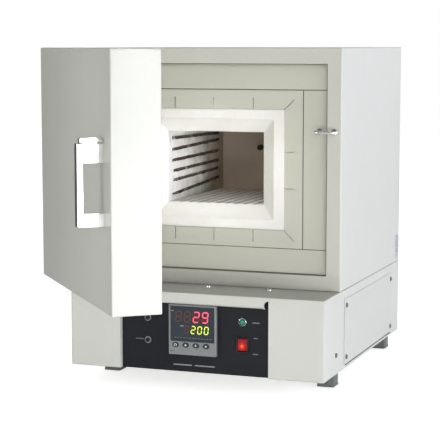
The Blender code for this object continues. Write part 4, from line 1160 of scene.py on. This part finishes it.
def coil(sign):
    """Wound element: a wire helix along the path, with straight leads to the rear."""
    x = MUFFLE_X + sign * COIL_X
    path = coil_path(x, sign)
    lengths = np.linalg.norm(np.diff(path, axis=0), axis=1)
    run = np.concatenate([[0], np.cumsum(lengths)])
    count = int(run[-1] / COIL_PITCH * STEPS_PER_TURN)
    at = np.linspace(0, run[-1], count + 1)
    middle = np.stack([np.interp(at, run, path[:, k]) for k in range(3)], axis=1)
    tangent = unit(np.gradient(middle, axis=0))
    sideways = np.tile(np.array([1.0, 0, 0]), (count + 1, 1))
    upright = np.cross(tangent, sideways)
    # turns open and close a little along the run, as wound wire does
    angle = 2 * math.pi * (at / COIL_PITCH + 0.9 * np.sin(at * 0.055)
                           + 0.45 * np.sin(at * 0.151 + 0.7))
    wobble = 0.10 * np.sin(at * 0.21) + 0.07 * np.sin(at * 0.053 + 1.0)
    outward = np.cos(angle)[:, None] * sideways + np.sin(angle)[:, None] * upright
    wire = middle + outward * (COIL_RADIUS + wobble)[:, None]
    along = unit(np.gradient(wire, axis=0))
    second = unit(np.cross(along, outward))
    first = np.cross(second, along)
    round_wire = 2 * math.pi * np.arange(WIRE_SIDES) / WIRE_SIDES
    rings = wire[:, None, :] + WIRE_RADIUS * (
        np.cos(round_wire)[None, :, None] * first[:, None, :]
        + np.sin(round_wire)[None, :, None] * second[:, None, :])
    faces = []
    for i in range(count):
        a, b = i * WIRE_SIDES, (i + 1) * WIRE_SIDES
        for k in range(WIRE_SIDES):
            m = (k + 1) % WIRE_SIDES
            faces.append((a + k, a + m, b + m, b + k))
    faces.append(tuple(range(WIRE_SIDES))[::-1])
    faces.append(tuple(count * WIRE_SIDES + k for k in range(WIRE_SIDES)))
    mesh = bpy.data.meshes.new("coil")
    mesh.from_pydata(rings.reshape(-1, 3).tolist(), [], faces)
    bm = bmesh.new()
    bm.from_mesh(mesh)
    bpy.data.meshes.remove(mesh)
    lead = ((446.0, 1.6), (447.0, 2.2), (547.0, 2.2), (548.0, 1.6))     # Y, radius
    return merged(bm, *[turned("y", (x, PASSES[i][1]), lead, 16) for i in (0, 5)])


for side, sign in SIDES:
    stand_in(f"heating_coil_{side}", coil(sign), WIRE, "heating_wire", 60)

PROBE = (-20.9, 432.3)      # X, Z
# Y, radius
PROBE_BUSH = ((455.9, 6.1), (446.6, 6.1), (445.6, 6.0), (445.1, 5.8), (445.2, 5.4), (445.8, 5.1),
              (451.0, 4.9), (455.9, 4.9))
PROBE_ROD = ((447.0, 1.2), (446.6, 2.4), (447.2, 3.3), (448.5, 3.8), (533.6, 3.9))
PROBE_HEAD = ((533.9, 12.0), (534.3, 13.0), (552.0, 13.0), (556.5, 12.4), (558.0, 10.6))
put("probe_bush", turned_ring("y", PROBE, PROBE_BUSH, 48), SHEATH, "probe_sheath", 50)
stand_in("thermocouple", merged(turned("y", PROBE, PROBE_ROD, 32),
                                turned("y", PROBE, PROBE_HEAD, 40)), WIRE, "probe_sheath", 40)


# --------------------------------------------------------------------------
# Striker
# --------------------------------------------------------------------------
def striker():
    """Level bar on two turned posts with round flanges."""
    y, z = 86.0, 488.0
    parts = [turned("x", (y, z), [(208.0, 2.7), (209.0, 3.0), (242.0, 3.0), (243.0, 2.7)], 32)]
    for x, seat in ((210.0, 116.0), (241.0, 103.7)):
        post = [(y - 3.4, 1.2), (y - 3.1, 2.4), (y - 2.2, 3.5), (y - 0.6, 4.1), (y + 1.0, 4.1),
                (y + 2.6, 3.5), (y + 3.6, 3.0), (seat - 4.4, 3.0), (seat - 4.0, 3.6),
                (seat - 3.4, 6.0), (seat - 2.9, 6.5), (seat - 0.3, 6.5), (seat, 6.3)]
        parts.append(turned("y", (x, z), post, 36))
    return merged(*parts)


stand_in("door_striker", striker(), CHROME, "bright_steel", 40)

# --------------------------------------------------------------------------
# Cable gland
# --------------------------------------------------------------------------
GLAND = (-180.0, 90.0)      # X, Z
# Y, radius, whether fluted
GLAND_DOME = ((576.8, 13.2, False), (577.2, 13.8, True), (583.5, 13.2, True), (586.2, 11.6, False),
              (587.6, 9.4, False), (588.0, 7.6, False), (588.0, 6.0, False), (586.0, 5.2, False),
              (560.0, 5.0, False))


def gland():
    """Hexagonal body, round clamping nut with flutes, thread and locknut inside."""
    loops = []
    for y, radius, fluted in GLAND_DOME:
        full, sunk = (circle("y", GLAND, y, r, 72) for r in (radius, radius * 0.965))
        loops.append([sunk[i] if fluted and i % 6 < 2 else full[i] for i in range(72)])
    return merged(
        turned("y", GLAND, [(570.3, 14.6), (571.0, 15.4), (576.0, 15.4), (576.8, 14.6)], 6),
        skin(loops, caps_first=True),
        turned("y", GLAND, [(556.0, 9.4), (567.6, 9.4)], 32),
        turned("y", GLAND, [(561.0, 13.0), (562.0, 13.8), (566.4, 13.8), (567.2, 13.0)], 6))


stand_in("cable_gland", gland(), MOULDING, "black_moulding", 30)

# --------------------------------------------------------------------------
# Plate at the rear of the right side, with plain bars for its print
# --------------------------------------------------------------------------
TAG_FACE = HOUSING_FACE + 0.5
put("rating_plate", prism("x", [(534, 196), (565, 196), (565, 246), (534, 246)],
                          HOUSING_FACE, TAG_FACE), TAG, "zinc_steel", 0)
# Z of a bar's foot, Y of its rear end
TAG_BARS = ((240, 561), (235, 555), (230, 559), (225, 551), (220, 560), (213, 556), (208, 562),
            (201, 553))
put("rating_plate_bars", merged(*[
    prism("x", [(538, z), (rear, z), (rear, z + 1.5), (538, z + 1.5)], TAG_FACE, TAG_FACE + 0.06)
    for z, rear in TAG_BARS]), TAG_PRINT, "zinc_steel", 0)

# --------------------------------------------------------------------------
# Door: handle, plug, seal
# --------------------------------------------------------------------------
DOOR_FACE = 14.0


def handle():
    """Bracket handle: deep upper arm, shallower lower arm, flat grip, all edges eased."""
    root, grip_back, grip_front = DOOR_FACE - 0.3, -22.5, -33
    bm = prism("x", [(root, 348), (root, 371), (grip_back, 371), (grip_back, 455), (root, 455),
                     (root, 488), (grip_front, 488), (grip_front, 348)], 198.5, 216.0)
    bm.normal_update()
    ease(bm, [e for e in bm.edges
              if len(e.link_faces) == 2 and not all(v.co.y > 10 for v in e.verts)], 0.9, 3)
    return bm


def latch_tab():
    """Wedge-ended tab on top of the handle."""
    bm = prism("x", [(-27.5, 488.9), (-27.5, 496.6), (1.5, 497.2), (12.5, 492.6), (12.5, 488.9)],
               201.0, 214.0)
    ease(bm, [e for e in bm.edges
              if len(e.link_faces) == 2 and e.calc_face_angle(0) > math.radians(30)], 0.5, 2)
    return bm


stand_in("door_handle", handle(), HANDLE, "bright_steel", 60, body="door", flat=True)
put("handle_latch_tab", latch_tab(), HANDLE, "bright_steel", 60, body="door", flat=True)
# Painted shade: a black strip in the gap under the tab, for the shade line between tab and arm.
put("handle_latch_gap", block((203.0, 212.0), (-26.5, 12.0), (487.6, 489.4)), MOULDING,
    "black_moulding", 0, body="door")


def plug():
    """Tapered plug with eased edges and a chalky, slightly uneven face."""
    taper_start = (-4.6, 114.7, 89.5, 118.0)
    end_rim = (-8.1, 94.0, 65.4, 137.0)
    stations = [(0, 124.0, 100.0, 100.6), (0, 124.0, 100.0, 108.2), (-0.8, 123.2, 99.2, 109.4),
                (-3.6, 118.2, 93.0, 112.3), (-4.0, 116.5, 91.2, 113.8), (-4.3, 115.6, 90.4, 116.0),
                taper_start]
    stations += between(taper_start, (-8.0, 97.2, 68.6, 135.2), 8)[:-1]
    stations += [(-8.1, 96.8, 68.2, 135.6), (-8.1, 96.2, 67.6, 136.3), (-8.1, 95.2, 66.6, 136.8),
                 end_rim]
    stations += between(end_rim, (-8.1, 0.0, 0.0, 137.0), 12)[:-1]
    bm = skin(sections(rounded_rect(124.0, 100.0, 3.0, 5.0, 3), stations))
    rough_up(bm, 0.20, 0.06, 5.0, lambda co: 1.0 if co.y > 112 else 0.0)
    for v in bm.verts:
        v.co.y = min(v.co.y, 137.0)
    return bm


def seal():
    """Flat braided tape laid in a rounded rectangle, with softly swelling faces."""
    half_width, front, back, count = 6.9, 110.35, 113.55, 14
    profile = []
    for k in range(count):
        t = 2 * math.pi * k / count
        c, s = math.cos(t), math.sin(t)
        profile.append((half_width * math.copysign(abs(c) ** 0.55, c),
                        (front + back) / 2
                        + (back - front) / 2 * math.copysign(abs(s) ** 0.75, s)))
    track = [Vector(point) for point in rounded_rect(161.0, 135.0, 16.0, 2.0, 14)]
    loops = []
    for i, p in enumerate(track):
        way = (track[(i + 1) % len(track)] - track[i - 1]).normalized()
        swell = 1.0 + 0.03 * math.sin(i * 0.9)
        loops.append([(p.x + way.y * u * swell, y, MIDDLE_Z + p.y - way.x * u * swell)
                      for u, y in profile])
    return skin(loops, closed=True)


stand_in("door_plug", plug(), PLUG, "throat_ceramic", 50, body="door")
stand_in("door_seal", seal(), BRAID, "fibre_wool", 70, body="door")


# --------------------------------------------------------------------------
# Stage and surroundings
# --------------------------------------------------------------------------
def stage():
    """Pale floor; in bright metal it shows pale at the right front and dark at the left rear."""
    look = Look("floor_look", (0.86, 0.86, 0.85), roughness=0.8, specular=0.1)
    rays = look.add("LightPath").outputs
    pale = look.mix(look.cloud(scale=1.5, detail=2), (0.85, 0.85, 0.84), (0.87, 0.87, 0.86))
    right_front = look.math("SUBTRACT", look.times(look.axis("X"), 0.86),
                            look.times(look.axis("Y"), 0.50))
    mirrored = look.mix(look.fit(right_front, span=(-2.5, 0.5)),
                        (0.14, 0.14, 0.15), (0.86, 0.86, 0.86))
    look.set("Base Color", look.mix(rays["Is Glossy Ray"], pale, mirrored))
    look.set("Emission Color", (1, 1, 1))
    shine = look.times(rays["Is Glossy Ray"],
                       look.fit(right_front, span=(0.0, 2.0), to=(0.0, 0.5)))
    look.set("Emission Strength", look.math("ADD", look.times(rays["Is Camera Ray"], 0.68), shine))
    bm = bmesh.new()
    bmesh.ops.create_grid(bm, x_segments=4, y_segments=4, size=8.0)
    mesh = bpy.data.meshes.new("floor")
    bm.to_mesh(mesh)
    bm.free()
    mesh.materials.append(look.material)
    floor = bpy.data.objects.new("floor", mesh)
    bpy.context.scene.collection.objects.link(floor)
    floor.location.z = -0.0004


def surroundings():
    """Soft world, dimmer overhead; in reflections it is also darker at the left rear."""
    world = bpy.data.worlds.new("studio")
    bpy.context.scene.world = world
    world.use_nodes = True
    tree = Nodes(world.node_tree)
    background = world.node_tree.nodes["Background"]
    rays = tree.add("LightPath").outputs
    direction = tree.add("TexCoord").outputs["Generated"]

    def towards(way, span, to):
        dot = tree.add("VectorMath", {0: direction, 1: Vector(way).normalized()},
                       operation="DOT_PRODUCT")
        return tree.fit(dot.outputs["Value"], span, to, smooth=True)

    up, right_front = (0, 0, 1), (0.86, -0.50, 0.0)
    ambient, glossy = 1.68, 0.76
    diffuse_sky = tree.times(towards(up, span=(0.0, 0.72), to=(1.0, 0.16)), ambient)
    overhead = towards(up, span=(0.10, 0.60), to=(1.0, 0.22))
    around = tree.times(towards(right_front, span=(-0.98, 0.10), to=(0.16, 1.0)),
                        towards(right_front, span=(0.80, 0.97), to=(1.0, 1.75)))
    glossy_sky = tree.times(tree.times(overhead, around), glossy)
    background.inputs["Color"].default_value = (1, 1, 1, 1)
    sky = tree.mix_values(rays["Is Glossy Ray"], diffuse_sky, glossy_sky)
    tree.feed(background.inputs["Strength"], tree.mix_values(rays["Is Camera Ray"], sky, 1.0))


stage()
surroundings()

# --------------------------------------------------------------------------
# Lights and camera
# --------------------------------------------------------------------------
def softbox(name, direction, distance, size, power, rgb=(1, 1, 1), aim=Vector((0.0, 0.10, 0.33)),
            spread=180):
    """Area light at a distance from its aim, in a direction from it; spread in degrees."""
    data = bpy.data.lights.new(name, "AREA")
    data.shape = "RECTANGLE"
    data.size, data.size_y = size
    data.energy = power
    data.color = rgb
    data.spread = math.radians(spread)
    obj = bpy.data.objects.new(name, data)
    way = Vector(direction).normalized()
    obj.location = aim + way * distance
    obj.rotation_euler = (-way).to_track_quat("-Z", "Y").to_euler()
    obj.visible_camera = False
    bpy.context.scene.collection.objects.link(obj)


softbox("key", (0.86, -0.50, 0.0), distance=3.0, size=(1.2, 1.6), power=4.0)
softbox("right", (1.0, 0.0, 0.0), distance=3.0, size=(2.0, 2.0), power=58.0,
        rgb=(0.775, 0.838, 1.0))
softbox("rear", (-0.4, 1.0, 0.5), distance=3.6, size=(2.4, 2.0), power=12.0)
softbox("edge_strip", (0.857, -0.517, 0.0), distance=2.2, size=(0.30, 0.8), power=0.34,
        aim=DOOR @ Vector((238, 55, 420)), spread=12)
softbox("door_glow", (-0.62, -0.78, -0.05), distance=1.5, size=(0.3, 0.7), power=0.18,
        aim=DOOR @ Vector((150, 14, 440)), spread=26)
softbox("mouth", (0.60, -0.79, 0.06), distance=2.6, size=(0.14, 0.14), power=0.068,
        aim=CABINET @ Vector((-103, 215, 408)), spread=5)
softbox("hearth", (0.28, -0.90, 0.32), distance=2.5, size=(0.08, 0.08), power=0.0125,
        aim=CABINET @ Vector((0, 265, 343)), spread=4)
softbox("collar", (0.60, -0.78, -0.18), distance=2.0, size=(0.25, 0.25), power=0.058,
        aim=CABINET @ Vector((45, 114, 400)), spread=11)
softbox("low", (0.42, -0.90, -0.02), distance=1.4, size=(0.7, 0.12), power=0.58,
        aim=CABINET @ Vector((80, 0, 95)), spread=60)

# three beams stand in for light thrown about inside; they reach the chamber and recess only
LIT_INSIDE = ("muffle_", "hearth_plate", "heating_coil", "throat_collar", "thermocouple", "probe",
              "face_plate", "trim_strip", "plate_seams", "upper_shell", "door_striker")
inner = bpy.data.collections.new("chamber_light_set")
for obj in bpy.data.objects:
    if obj.type == "MESH" and obj.name.startswith(LIT_INSIDE):
        inner.objects.link(obj)
for name in ("mouth", "hearth", "collar"):
    bpy.data.objects[name].light_linking.receiver_collection = inner

scene = bpy.context.scene
camera_data = bpy.data.cameras.new("camera")
camera_data.lens = 125.2
camera_data.sensor_width = 36.0
camera_data.clip_start = 0.05
camera_data.clip_end = 60
camera = bpy.data.objects.new("camera", camera_data)
camera.location = (1.0570, -2.7605, 0.6512)
camera.rotation_euler = (math.radians(83.45), 0, math.radians(20.1))
scene.collection.objects.link(camera)
scene.camera = camera
scene.view_settings.view_transform = "Standard"
scene.view_settings.look = "None"
